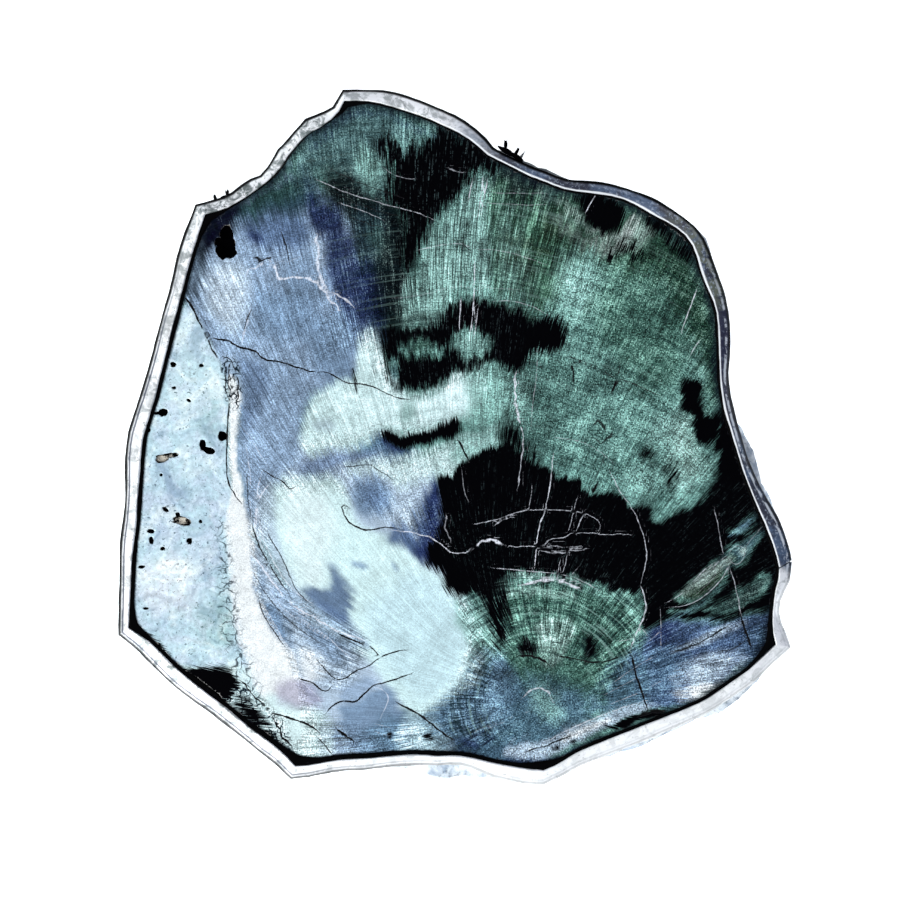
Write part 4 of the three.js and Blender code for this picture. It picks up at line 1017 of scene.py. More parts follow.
class Lattice:
    """Repeatable smooth noise from -1 to 1 over a plane."""

    SIZE = 256

    def __init__(self, seed: int) -> None:
        """Fills the lattice from a seed."""
        self.values = np.random.default_rng(seed).uniform(-1, 1, (self.SIZE, self.SIZE))

    def at(self, x: np.ndarray, y: np.ndarray) -> np.ndarray:
        """The noise at each place of the plane.

        Args:
            x: the places' first measures, in cells.
            y: the second ones.

        Returns:
            One value for each place.
        """
        x0, y0 = np.floor(x).astype(int), np.floor(y).astype(int)
        fx, fy = x - x0, y - y0
        fx, fy = fx * fx * (3 - 2 * fx), fy * fy * (3 - 2 * fy)
        x0, y0 = x0 % self.SIZE, y0 % self.SIZE
        x1, y1 = (x0 + 1) % self.SIZE, (y0 + 1) % self.SIZE
        low = self.values[x0, y0] * (1 - fx) + self.values[x1, y0] * fx
        high = self.values[x0, y1] * (1 - fx) + self.values[x1, y1] * fx
        return low * (1 - fy) + high * fy

    def layered(self, x: np.ndarray, y: np.ndarray, layers: int = 3) -> np.ndarray:
        """Noise with finer and weaker layers added."""
        total = sum(self.at(x * 2 ** k + 17 * k, y * 2 ** k + 31 * k) / 2 ** k for k in range(layers))
        return total / sum(1 / 2 ** k for k in range(layers))


@dataclass(frozen=True)
class Grain:
    """The field of rays and rings. Rays leave the pith and lean, and rings cross them at right angles."""

    lean: float = 0.25
    lean_radius: float = 150.0
    calm_radius: float = 60.0
    ring_unit: float = 100.0
    wide_streak: float = 9.0
    narrow_streak: float = 3.5

    def read(self, pixels: np.ndarray) -> tuple[np.ndarray, np.ndarray, np.ndarray]:
        """The ray's angle, the ring's radius and the ray's direction at each place, in pixels.

        Args:
            pixels: one row for each place, in pixels of the photograph.

        Returns:
            The three, with one value or row for each place.
        """
        offset = pixels - np.array(SCALE.pith_pixel)
        radius = np.maximum(np.hypot(offset[:, 0], offset[:, 1]), 1e-3)
        angle = np.arctan2(offset[:, 0], -offset[:, 1])
        calm = smooth_step(self.calm_radius * 0.5, self.calm_radius * 3, radius)
        upward = 0.5 + 0.5 * np.cos(angle)
        right = smooth_step(0.0, 0.9, angle) * (angle > 0)
        lean = self.lean * calm * upward * (1 - 0.8 * right)
        ray = angle - lean * np.log(np.maximum(radius, self.calm_radius) / self.lean_radius)
        ring = radius * np.exp(self.lean * np.sin(angle) * calm * upward)
        tilt = angle + np.arctan(lean)
        direction = np.stack([np.sin(tilt), -np.cos(tilt)], axis=1)
        return ray, ring, direction

    def streaks(self, lattice: Lattice, ray: np.ndarray, ring: np.ndarray, width: float) -> np.ndarray:
        """Noise that is drawn out along the rays, with streaks of about one width everywhere.

        Args:
            lattice: the noise to draw out.
            ray: the rays' angles.
            ring: the rings' radii.
            width: the width of a streak, in pixels.

        Returns:
            One value for each place.
        """
        total = np.zeros(len(ray))
        weight = np.zeros(len(ray))
        wanted = np.log2(np.maximum(ring, 8) / width)
        for octave in range(1, 9):
            share = np.clip(1 - np.abs(wanted - octave), 0, 1)
            total += share * lattice.at(ray * 2 ** octave + 40 * octave, ring / (width * 9) + 13 * octave)
            weight += share
        return total / np.maximum(weight, 1e-6)


@dataclass
class FacePainter:
    """Works out what the stone's face carries at each of its points, from the named patches and lines."""

    grain: Grain = field(default_factory=Grain)
    line_reach: float = 5.0
    plain_figure: tuple[float, ...] = (0.2, 0.6, 0.7, 0.0, 0.0, 0.0)
    far_from_stain: float = 12.0
    stain_margin: float = 30.0
    edge_warp: float = 2.2
    zone_rag: float = 2.0

    def __post_init__(self) -> None:
        """Seeds the noises."""
        self.coarse = Lattice(Seed.EDGES)
        self.fine = Lattice(Seed.DETAIL)
        self.streak = Lattice(Seed.STREAKS)

    def warp(self, pixels: np.ndarray, amount: float) -> np.ndarray:
        """Places moved a little by noise, so that outlines drawn over them run unevenly.

        Args:
            pixels: one row for each place, in pixels of the photograph.
            amount: how far they move, in pixels.

        Returns:
            The moved places.
        """
        x, y = pixels[:, 0], pixels[:, 1]
        dx = self.coarse.layered(x / 22, y / 22) + 0.5 * self.fine.at(x / 5, y / 5)
        dy = self.coarse.layered(x / 22 + 90, y / 22 + 40) + 0.5 * self.fine.at(x / 5 + 60, y / 5)
        return pixels + amount * np.stack([dx, dy], axis=1)

    def patch_depth(self, pixels: np.ndarray, outline: Points, rag: float) -> np.ndarray:
        """The depth inside an outline whose edge is drawn out along the rays.

        Args:
            pixels: one row for each place, in pixels of the photograph.
            outline: its corners.
            rag: how far the edge is drawn out, in pixels.

        Returns:
            The depth in pixels.
        """
        ray, ring, direction = self.grain.read(pixels)
        wide = self.grain.streaks(self.streak, ray, ring, self.grain.wide_streak)
        narrow = self.grain.streaks(self.fine, ray, ring, self.grain.narrow_streak)
        moved = self.warp(pixels, self.edge_warp) + (rag * (0.9 * wide + 0.8 * narrow))[:, None] * direction
        corners = chaikin(np.array(outline, float), True, 2)
        return depth_inside(moved, corners)

    def near(self, pixels: np.ndarray, outline: Points, margin: float) -> np.ndarray:
        """Which places lie in an outline's box with a margin.

        Args:
            pixels: one row for each place, in pixels of the photograph.
            outline: its corners.
            margin: the margin in pixels.

        Returns:
            One truth value for each place.
        """
        corners = np.array(outline, float)
        low, high = corners.min(0) - margin, corners.max(0) + margin
        return ((pixels > low) & (pixels < high)).all(1)

    def tint(self, pixels: np.ndarray) -> np.ndarray:
        """The stone's soft under-colour at each place.

        Args:
            pixels: one row for each place, in pixels of the photograph.

        Returns:
            One row of linear colour for each place.
        """
        colour = np.tile(Tone.TEAL.linear(), (len(pixels), 1))
        for patch in PATCHES:
            if patch.tone is Tone.INK:
                continue
            here = np.flatnonzero(self.near(pixels, patch.outline, patch.soft + patch.rag * 2 + 8))
            depth = self.patch_depth(pixels[here], patch.outline, patch.rag)
            mask = patch.cover * smooth_step(-patch.soft, patch.soft, depth)
            colour[here] += mask[:, None] * (patch.tone.linear() - colour[here])
        return colour

    def stain(self, pixels: np.ndarray) -> tuple[np.ndarray, np.ndarray]:
        """The depth inside the black stain in pixels, and how far its edge is drawn along the rays.

        Args:
            pixels: one row for each place, in pixels of the photograph.

        Returns:
            The two, with one value for each place.
        """
        depth = np.full(len(pixels), -self.far_from_stain)
        rag = np.zeros(len(pixels))
        for patch in PATCHES:
            if patch.tone is not Tone.INK:
                continue
            here = np.flatnonzero(self.near(pixels, patch.outline, self.stain_margin))
            found = self.patch_depth(pixels[here], patch.outline, patch.rag)
            found = np.where(found > 0, found * patch.cover ** 2, found)
            depth[here] = np.maximum(depth[here], found)
            close = smooth_step(-14, -4, found)
            rag[here] = np.maximum(rag[here], close * (patch.soft + patch.rag * 0.6))
        for patch in PATCHES:
            if not patch.over:
                continue
            here = np.flatnonzero(self.near(pixels, patch.outline, self.stain_margin))
            found = self.patch_depth(pixels[here], patch.outline, patch.rag)
            depth[here] = np.minimum(depth[here], -found)
        return np.clip(depth, -self.far_from_stain, self.far_from_stain), rag

    def zones(self, pixels: np.ndarray) -> np.ndarray:
        """The ring, ray, speckle, agate, glint and crackle strengths at each place.

        Args:
            pixels: one row for each place, in pixels of the photograph.

        Returns:
            One row of the six for each place.
        """
        values = np.tile(np.array(self.plain_figure), (len(pixels), 1))
        for zone in ZONES:
            here = np.flatnonzero(self.near(pixels, zone.outline, zone.soft * 2 + 6))
            depth = self.patch_depth(pixels[here], zone.outline, self.zone_rag)
            mask = smooth_step(-zone.soft, zone.soft, depth)
            wanted = np.array([zone.ring, zone.ray, zone.speckle, zone.agate, zone.glint, zone.crackle])
            values[here] += mask[:, None] * (wanted - values[here])
        return values

    def lines(self, pixels: np.ndarray, lines: Sequence[Line]) -> np.ndarray:
        """For each place the signed distance to the nearest line, that line's half width and its strength.

        Args:
            pixels: one row for each place, in pixels of the photograph.
            lines: the veins or the cracks.

        Returns:
            One row of the three for each place.
        """
        result = np.zeros((len(pixels), 3))
        result[:, 0] = self.line_reach
        nearest = np.full(len(pixels), self.line_reach)
        second = np.full(len(pixels), 2 * self.line_reach)
        for number, line in enumerate(lines):
            here = np.flatnonzero(self.near(pixels, line.route, self.line_reach + 2))
            places = pixels[here]
            x, y = places[:, 0], places[:, 1]
            shake = np.stack([self.fine.layered(x / 6 + number, y / 6),
                              self.fine.layered(x / 6, y / 6 + number + 70)], axis=1)
            route = chaikin(np.array(line.route, float), False, 1)
            side, distance, share = beside_route(places + line.jitter * shake, route)
            ends = smooth_step(0, 0.08, share) * smooth_step(0, 0.12, 1 - share)
            uneven = 0.75 + 0.5 * self.fine.at(x / 4 + 3 * number, y / 4)
            half = 0.5 * line.width * (0.35 + 0.65 * ends) * uneven
            closer = distance < nearest[here]
            second[here] = np.where(closer, nearest[here], np.minimum(second[here], distance))
            picked = here[closer]
            nearest[picked] = distance[closer]
            fade = 1 - smooth_step(self.line_reach * 0.5, self.line_reach * 0.8, distance[closer])
            result[picked] = np.stack([side[closer], half[closer], line.strength * fade], axis=1)
        result[:, 2] *= smooth_step(0.6, 2.4, second - nearest)
        return result


class Shade:
    """A node's output with arithmetic, so that shader maths reads as it would on paper."""

    def __init__(self, bench: "Bench", socket: bpy.types.NodeSocket) -> None:
        """Wraps one output socket."""
        self.bench = bench
        self.socket = socket

    def _math(self, operation: str, first: object, second: object = 0.0) -> "Shade":
        """Adds one Math node on two values."""
        node = self.bench.add("ShaderNodeMath", {"operation": operation}, {0: first, 1: second})
        return Shade(self.bench, node.outputs[0])

    def __add__(self, other: object) -> "Shade":
        """Sum."""
        return self._math("ADD", self, other)

    def __radd__(self, other: object) -> "Shade":
        """Sum with a number on the left."""
        return self._math("ADD", other, self)

    def __sub__(self, other: object) -> "Shade":
        """Difference."""
        return self._math("SUBTRACT", self, other)

    def __rsub__(self, other: object) -> "Shade":
        """Difference from a number."""
        return self._math("SUBTRACT", other, self)

    def __mul__(self, other: object) -> "Shade":
        """Product."""
        return self._math("MULTIPLY", self, other)

    def __rmul__(self, other: object) -> "Shade":
        """Product with a number on the left."""
        return self._math("MULTIPLY", other, self)

    def absolute(self) -> "Shade":
        """The value without its sign."""
        return self._math("ABSOLUTE", self)

    def larger(self, other: object) -> "Shade":
        """The larger of two values."""
        return self._math("MAXIMUM", self, other)

    def step(self, low: object, high: object) -> "Shade":
        """A soft step from 0 at low to 1 at high.

        Args:
            low: where the step begins.
            high: where it ends.

        Returns:
            The step's value.
        """
        node = self.bench.add(
            "ShaderNodeMapRange",
            {"interpolation_type": "SMOOTHSTEP", "clamp": True},
            {"Value": self, "From Min": low, "From Max": high, "To Min": 0.0, "To Max": 1.0},
        )
        return Shade(self.bench, node.outputs[0])


class Bench:
    """The node tree of one finish, with short ways to add to it."""

    def __init__(self, tree: bpy.types.NodeTree) -> None:
        """Starts from an empty tree."""
        self.tree = tree
        self.tree.nodes.clear()

    def add(self, kind: str, settings: dict | None = None, sockets: dict | None = None) -> bpy.types.Node:
        """Adds a node.

        Args:
            kind: the node's type.
            settings: its properties, set before its sockets.
            sockets: values or shades by input name or number.

        Returns:
            The node.
        """
        node = self.tree.nodes.new(kind)
        for name, value in (settings or {}).items():
            setattr(node, name, value)
        for name, value in (sockets or {}).items():
            self._feed(node.inputs[name], value)
        return node

    def _feed(self, target: bpy.types.NodeSocket, value: object) -> None:
        """Links a shade to a socket, or sets a plain value on it.

        Args:
            target: the socket.
            value: the shade, number or colour.
        """
        if isinstance(value, Shade):
            self.tree.links.new(value.socket, target)
        else:
            target.default_value = value

    def shade(self, node: bpy.types.Node, output: object = 0) -> Shade:
        """A node's output as a shade."""
        return Shade(self, node.outputs[output])

    def attribute(self, name: str) -> Shade:
        """A vector that the mesh carries at its points."""
        node = self.add("ShaderNodeAttribute", {"attribute_type": "GEOMETRY", "attribute_name": name})
        return Shade(self, node.outputs["Vector"])

    def split(self, vector: Shade) -> tuple[Shade, Shade, Shade]:
        """A vector's three parts."""
        node = self.add("ShaderNodeSeparateXYZ", None, {0: vector})
        return Shade(self, node.outputs[0]), Shade(self, node.outputs[1]), Shade(self, node.outputs[2])

    def vector(self, operation: str, first: object, second: object) -> Shade:
        """Vector maths on two vectors."""
        node = self.add("ShaderNodeVectorMath", {"operation": operation}, {0: first, 1: second})
        return Shade(self, node.outputs[0])

    def scaled(self, vector: Shade, amount: object) -> Shade:
        """A vector or colour times a number."""
        node = self.add("ShaderNodeVectorMath", {"operation": "SCALE"}, {0: vector, "Scale": amount})
        return Shade(self, node.outputs[0])

    def noise(self, place: Shade, scale: float, detail: float = 2.0, roughness: float = 0.5,
              distortion: float = 0.0) -> Shade:
        """Noise from 0 to 1.

        Args:
            place: where it is read.
            scale: how many cells there are to a unit.
            detail: how many finer layers it has.
            roughness: how strong those are.
            distortion: how much it is twisted.

        Returns:
            The noise's value.
        """
        node = self.add("ShaderNodeTexNoise", {"noise_dimensions": "3D"}, {
            "Vector": place, "Scale": scale, "Detail": detail, "Roughness": roughness,
            "Distortion": distortion})
        return Shade(self, node.outputs[0])

    def colour_noise(self, place: Shade, scale: float) -> Shade:
        """Noise as a vector of three values."""
        node = self.add("ShaderNodeTexNoise", {"noise_dimensions": "3D"}, {"Vector": place, "Scale": scale})
        return Shade(self, node.outputs[1])

    def power(self, base: object, exponent: object) -> Shade:
        """A number raised to a power."""
        node = self.add("ShaderNodeMath", {"operation": "POWER"}, {0: base, 1: exponent})
        return Shade(self, node.outputs[0])

    def topped(self, colour: Shade) -> Shade:
        """A colour kept from being brighter than a surface can be."""
        return self.vector("MINIMUM", colour, (0.95, 0.95, 0.95))

    def mix(self, amount: object, first: object, second: object) -> Shade:
        """Two colours mixed by an amount from 0 to 1.

        Args:
            amount: how much of the second colour there is.
            first: the first colour.
            second: the second colour.

        Returns:
            The mixed colour.
        """
        node = self.add("ShaderNodeMix", {"data_type": "RGBA", "blend_type": "MIX", "clamp_result": False},
                        {0: amount, 6: first, 7: second})
        return Shade(self, node.outputs[2])

    def bump(self, height: Shade, distance: float) -> Shade:
        """A normal from a height."""
        node = self.add("ShaderNodeBump", None, {"Height": height, "Distance": distance})
        return Shade(self, node.outputs[0])

    def surface(self, base: object, roughness: object, normal: Shade | None = None, metallic: object = 0.0,
                painted_shade: object = None, **constants: object) -> None:
        """Ends the tree in one surface shader, which turns into unlit black where painted shade is given: shade painted
        into pits, cracks and the strip's dark parts.

        Args:
            base: the colour.
            roughness: the roughness.
            normal: the bumped normal.
            metallic: how metallic it is.
            painted_shade: where it turns into unlit black as painted shade, from 0 to 1.
            constants: values by the names of their inputs, with _ for a space.
        """
        sockets: dict = {"Base Color": base, "Roughness": roughness, "Metallic": metallic}
        if normal is not None:
            sockets["Normal"] = normal
        sockets.update({name.replace("_", " "): value for name, value in constants.items()})
        shader = Shade(self, self.add("ShaderNodeBsdfPrincipled", None, sockets).outputs[0])
        if painted_shade is not None:
            shade_black = Shade(self, self.add("ShaderNodeBsdfPrincipled", None, {
                "Base Color": tone((2, 2, 3)), "Roughness": 1.0, "Specular IOR Level": 0.0}).outputs[0])
            shader = Shade(self, self.add("ShaderNodeMixShader", None, {0: painted_shade, 1: shader, 2: shade_black}).outputs[0])
        self.add("ShaderNodeOutputMaterial", None, {"Surface": shader})


def new_bench(name: str) -> tuple[bpy.types.Material, Bench]:
    """A new material and the bench of its node tree.

    Args:
        name: the material's name.

    Returns:
        The two.
    """
    material = bpy.data.materials.new(name)
    material.use_nodes = True
    return material, Bench(material.node_tree)


def rgba(values: Sequence[float]) -> tuple[float, float, float, float]:
    """Linear values as a socket's colour."""
    return (float(values[0]), float(values[1]), float(values[2]), 1.0)


def tone(values: Sequence[float]) -> tuple[float, float, float, float]:
    """8-bit display values as a socket's colour."""
    return rgba(display_to_linear(np.array(values) / 255))


@dataclass(frozen=True)
class PolishedWood:
    """The finish of the polished face: its figure and stains, with painted shade along its edge and in its pits and
    cracks, read from what the mesh carries.
    """

    ray_cells: tuple[float, float, float] = (70.0, 190.0, 430.0)
    streak_length: float = 4.2
    ring_cells: float = 13.0
    grit_scale: float = 1500.0
    roughness: float = 0.16
    relief_depth: float = 0.05 * MM

    def make(self) -> bpy.types.Material:
        """Builds the material.

        Returns:
            The material.
        """
        material, b = new_bench("polished_petrified_wood")
        place = b.shade(b.add("ShaderNodeTexCoord"), "Object")
        grain = b.attribute("grain")
        ring = b.split(grain)[2]
        # edge is how far inside the face's edge each point lies, weighted for the painted shade there.
        stain, rag, edge = b.split(b.attribute("stain"))
        ring_part, ray_part, speckle = b.split(b.attribute("figure"))
        ring_part = ring_part * ring.step(0.2, 0.7)
        ray_part = ray_part * (ring.step(0.3, 1.0) * 0.75 + 0.25)
        agate, glint, crackle = b.split(b.attribute("special"))
        pit, crust, _ = b.split(b.attribute("relief"))
        fine = self._rays(b, grain, ring, 1.0)
        broad = self._rays(b, grain, ring, 0.25)
        rings = b.noise(b.vector("MULTIPLY", grain, (1.8, 1.8, self.ring_cells)), 1.0, 3.0, 0.65)
        ring_lines = b.noise(b.vector("MULTIPLY", grain, (2.4, 2.4, self.ring_cells * 3.2)), 1.0, 1.0)
        grit = b.noise(place, self.grit_scale, 2.0, 0.6)
        coarse = b.noise(place, self.grit_scale * 0.5, 3.0, 0.7)
        blotch = b.noise(place, 240.0, 4.0, 0.65)
        cloud = b.noise(place, 62.0, 3.0, 0.55, 0.5)
        cells = b.noise(b.vector("MULTIPLY", grain, (8.0, 8.0, 7.0)), 1.0, 2.0, 0.5)
        beams = b.noise(b.vector("MULTIPLY", grain, (24.0, 24.0, 1.6)), 1.0, 2.0, 0.6)
        power = (
            ray_part * (fine - 0.5) * 11.0 + ray_part * (broad - 0.5) * 5.0 + ring_part * (rings - 0.5) * 3.2
            + speckle * (grit - 0.5) * 8.5 + speckle * (coarse - 0.5) * 6.5
            + (blotch - 0.5) * (0.5 + speckle * 2.8) + speckle * (cloud - 0.5) * 5.0
            + ray_part * (beams - 0.5) * 3.0 + ring_part * (cells - 0.5) * 4.5 - 0.1 - speckle * 0.36
        )
        under = b.mix(fine.step(0.3, 0.7), b.attribute("tint"), b.attribute("tint_low"))
        colour = b.scaled(under, b.power(2.0, power))
        colour = b.mix((power - 0.3).step(0.0, 2.0) * speckle * 0.5, colour, tone((170, 200, 186)))
        colour = b.mix(agate, colour, b.mix(0.34, self._agate(b, place), b.attribute("tint")))
        speck = speckle * coarse.step(0.58, 0.66) * grit.step(0.42, 0.55) * 0.75
        colour = b.mix(speck, colour, tone((14, 28, 32)))
        ring_dark = ring_part * ring_lines.step(0.55, 0.66) * 0.6
        colour = b.mix(ring_dark, colour, tone((14, 34, 38)))
        ring_pale = ring_part * (1.0 - ring_lines).step(0.57, 0.68) * ray_part * 0.26
        colour = b.mix(ring_pale, colour, tone((170, 212, 204)))
        colour = b.mix(crackle * self._crackle(b, place), colour, tone((26, 40, 50)))
        # Painted shade along the face's edge under the raised strip, strongest at the top and the right.
        edge_shade = (1.0 - (edge + (blotch - 0.5) * 7.0 + (fine - 0.5) * 8.0).step(0.0, 11.0)) * 0.85
        colour = b.mix(edge_shade, colour, tone((8, 14, 26)))
        ragged = stain + rag * (fine - 0.5) * 6.0 + (grit - 0.5) * 2.0
        colour = b.mix(ragged.step(-1.2, 1.2), colour, tone(Tone.INK.value))
        sparkle = glint * fine.step(0.56, 0.74) * coarse.step(0.46, 0.6) * 0.55
        colour = b.mix(sparkle, colour, tone((120, 148, 150)))
        broken = coarse.step(0.4, 0.55) * 0.6 + fine.step(0.4, 0.56) * 0.25 + 0.15
        side, half, strength = b.split(b.attribute("veins"))
        vein = strength * broken * (1.0 - (side.absolute() + (grit - 0.5) * 1.7).step(half * 0.42, half + 0.12))
        colour = b.mix(vein, colour, tone((234, 238, 247)))
        side, half, strength = b.split(b.attribute("cracks"))
        crack = strength * (1.0 - (side.absolute() + (grit - 0.5) * 0.9).step(half * 0.6, half + 0.35))
        colour = b.mix(crack, colour, tone((4, 6, 14)))
        crumbs = crust * (blotch + coarse).step(0.94, 1.1)
        colour = b.mix(pit, colour, tone((206, 200, 186)))
        rough = self.roughness + (grit - 0.5) * 0.08 + crack * 0.4 + pit * 0.6
        height = (fine - 0.5) * 0.15 + (grit - 0.5) * 0.1 - crack * 1.0
        # Pits turn unlit black as painted shade in their recesses, except where crumbs show; cracks keep their own
        # near-black line and are mostly unlit as painted shade too.
        b.surface(b.topped(colour), rough, b.bump(height, self.relief_depth),
                  painted_shade=(pit * (1.0 - crumbs)).larger(crack * 0.85), IOR=1.5)
        return material

    def _crackle(self, b: Bench, place: Shade) -> Shade:
        """Thin dark lines between uneven cells, in some places only.

        Args:
            b: the finish's bench.
            place: where it is read.

        Returns:
            The lines' strength.
        """
        bent = b.vector("ADD", place, b.scaled(b.colour_noise(place, 260.0), 0.004))
        small = b.shade(b.add("ShaderNodeTexVoronoi", {"feature": "DISTANCE_TO_EDGE"},
                              {"Vector": bent, "Scale": 330.0}))
        large = b.shade(b.add("ShaderNodeTexVoronoi", {"feature": "DISTANCE_TO_EDGE"},
                              {"Vector": bent, "Scale": 150.0}))
        where = b.noise(place, 190.0, 2.0)
        lines = (1.0 - small.step(0.02, 0.12)) * where.step(0.5, 0.6)
        return lines.larger((1.0 - large.step(0.01, 0.07)) * (1.0 - where).step(0.42, 0.56))

    def _rays(self, b: Bench, grain: Shade, ring: Shade, share: float) -> Shade:
        """Streaks along the rays, finer the further they are from the pith.

        Args:
            b: the finish's bench.
            grain: the ray's direction and the ring's radius.
            ring: the ring's radius.
            share: how fine the streaks are.

        Returns:
            The streaks, from 0 to 1.
        """
        layers = [
            b.noise(b.vector("MULTIPLY", grain, (cells * share, cells * share, self.streak_length * max(share, 0.3))),
                    1.0, 1.5, 0.6, 0.15)
            for cells in self.ray_cells
        ]
        near, middle, far = layers
        inner = near + (middle - near) * ring.step(0.6, 1.3)
        return inner + (far - inner) * ring.step(1.6, 2.8)

    def _agate(self, b: Bench, place: Shade) -> Shade:
        """The cloudy pale stone left of the crack, with its dark specks.

        Args:
            b: the finish's bench.
            place: where it is read.

        Returns:
            The colour.
        """
        cloud = b.noise(place, 95.0, 5.0, 0.65, 0.6)
        drift = b.noise(b.vector("ADD", place, (0.3, 0.1, 0.0)), 60.0, 4.0, 0.6, 1.0)
        grain = b.noise(place, 430.0, 4.0, 0.7)
        specks = b.noise(place, 640.0, 3.0, 0.65)
        colour = b.mix(cloud.step(0.4, 0.62), tone((186, 214, 222)), tone((206, 220, 234)))
        colour = b.mix(drift.step(0.5, 0.66), colour, tone((236, 248, 248)))
        colour = b.mix((1.0 - drift).step(0.52, 0.66) * 0.85, colour, tone((128, 150, 172)))
        colour = b.scaled(colour, b.power(2.0, (grain - 0.5) * 2.6))
        thread = b.noise(b.vector("ADD", place, (0.0, 0.4, 0.2)), 130.0, 5.0, 0.62, 1.2)
        threads = (1.0 - (thread - 0.5).absolute().step(0.0, 0.022)) * cloud.step(0.44, 0.6)
        colour = b.mix(threads * 0.5, colour, tone((96, 116, 134)))
        return b.mix(specks.step(0.62, 0.67), colour, tone((30, 42, 54)))


@dataclass(frozen=True)
class RoughStone:
    """The finish of the broken side: nearly white rock with blue-grey bark-like streaks, dark at the top."""

    relief_depth: float = 0.5 * MM

    def make(self) -> bpy.types.Material:
        """Builds the material.

        Returns:
            The material.
        """
        material, b = new_bench("rough_stone_side")
        place = b.shade(b.add("ShaderNodeTexCoord"), "Object")
        lumps = b.noise(place, 130.0, 5.0, 0.65, 0.4)
        streaks = b.noise(b.vector("MULTIPLY", place, (1.0, 1.0, 0.25)), 420.0, 4.0, 0.65)
        grit = b.noise(place, 1400.0, 2.0)
        x, y, _ = b.split(place)
        upper = (y - x * 0.35).step(0.03, 0.11)
        colour = b.mix(lumps.step(0.3, 0.6), tone((150, 168, 188)), tone((240, 247, 250)))
        colour = b.mix(streaks.step(0.54, 0.7) * 0.6, colour, tone((58, 72, 90)))
        colour = b.mix(upper * 0.88, colour, tone((20, 24, 22)))
        colour = b.mix(grit.step(0.6, 0.75) * 0.35, colour, tone((190, 196, 170)))
        height = lumps * 0.7 + streaks * 0.5 + grit * 0.2
        b.surface(colour, 0.82, b.bump(height, self.relief_depth), IOR=1.5)
        return material


@dataclass(frozen=True)
class SawnStone:
    """The finish of the sawn back: dull stone with the saw's faint arcs."""

    arc_radius: float = 0.23
    relief_depth: float = 0.12 * MM

    def make(self) -> bpy.types.Material:
        """Builds the material.

        Returns:
            The material.
        """
        material, b = new_bench("sawn_stone_back")
        place = b.shade(b.add("ShaderNodeTexCoord"), "Object")
        flat = b.vector("MULTIPLY", b.vector("ADD", place, (self.arc_radius, 0.06, 0.0)), (1.0, 1.0, 0.0))
        radius = b.shade(b.add("ShaderNodeVectorMath", {"operation": "LENGTH"}, {0: flat}), "Value")
        wobble = b.noise(place, 40.0, 3.0)
        arcs = b.noise(b.shade(b.add("ShaderNodeCombineXYZ", None, {0: radius})), 900.0, 2.0)
        cloud = b.noise(place, 26.0, 5.0, 0.6, 0.5)
        colour = b.mix(cloud.step(0.35, 0.65), tone((96, 118, 124)), tone((176, 190, 200)))
        colour = b.mix((cloud * wobble).step(0.12, 0.2), tone((52, 62, 72)), colour)
        colour = b.mix(arcs.step(0.5, 0.7) * 0.3, colour, tone((214, 220, 224)))
        b.surface(colour, 0.7, b.bump(arcs + wobble * 0.4, self.relief_depth), IOR=1.5)
        return material


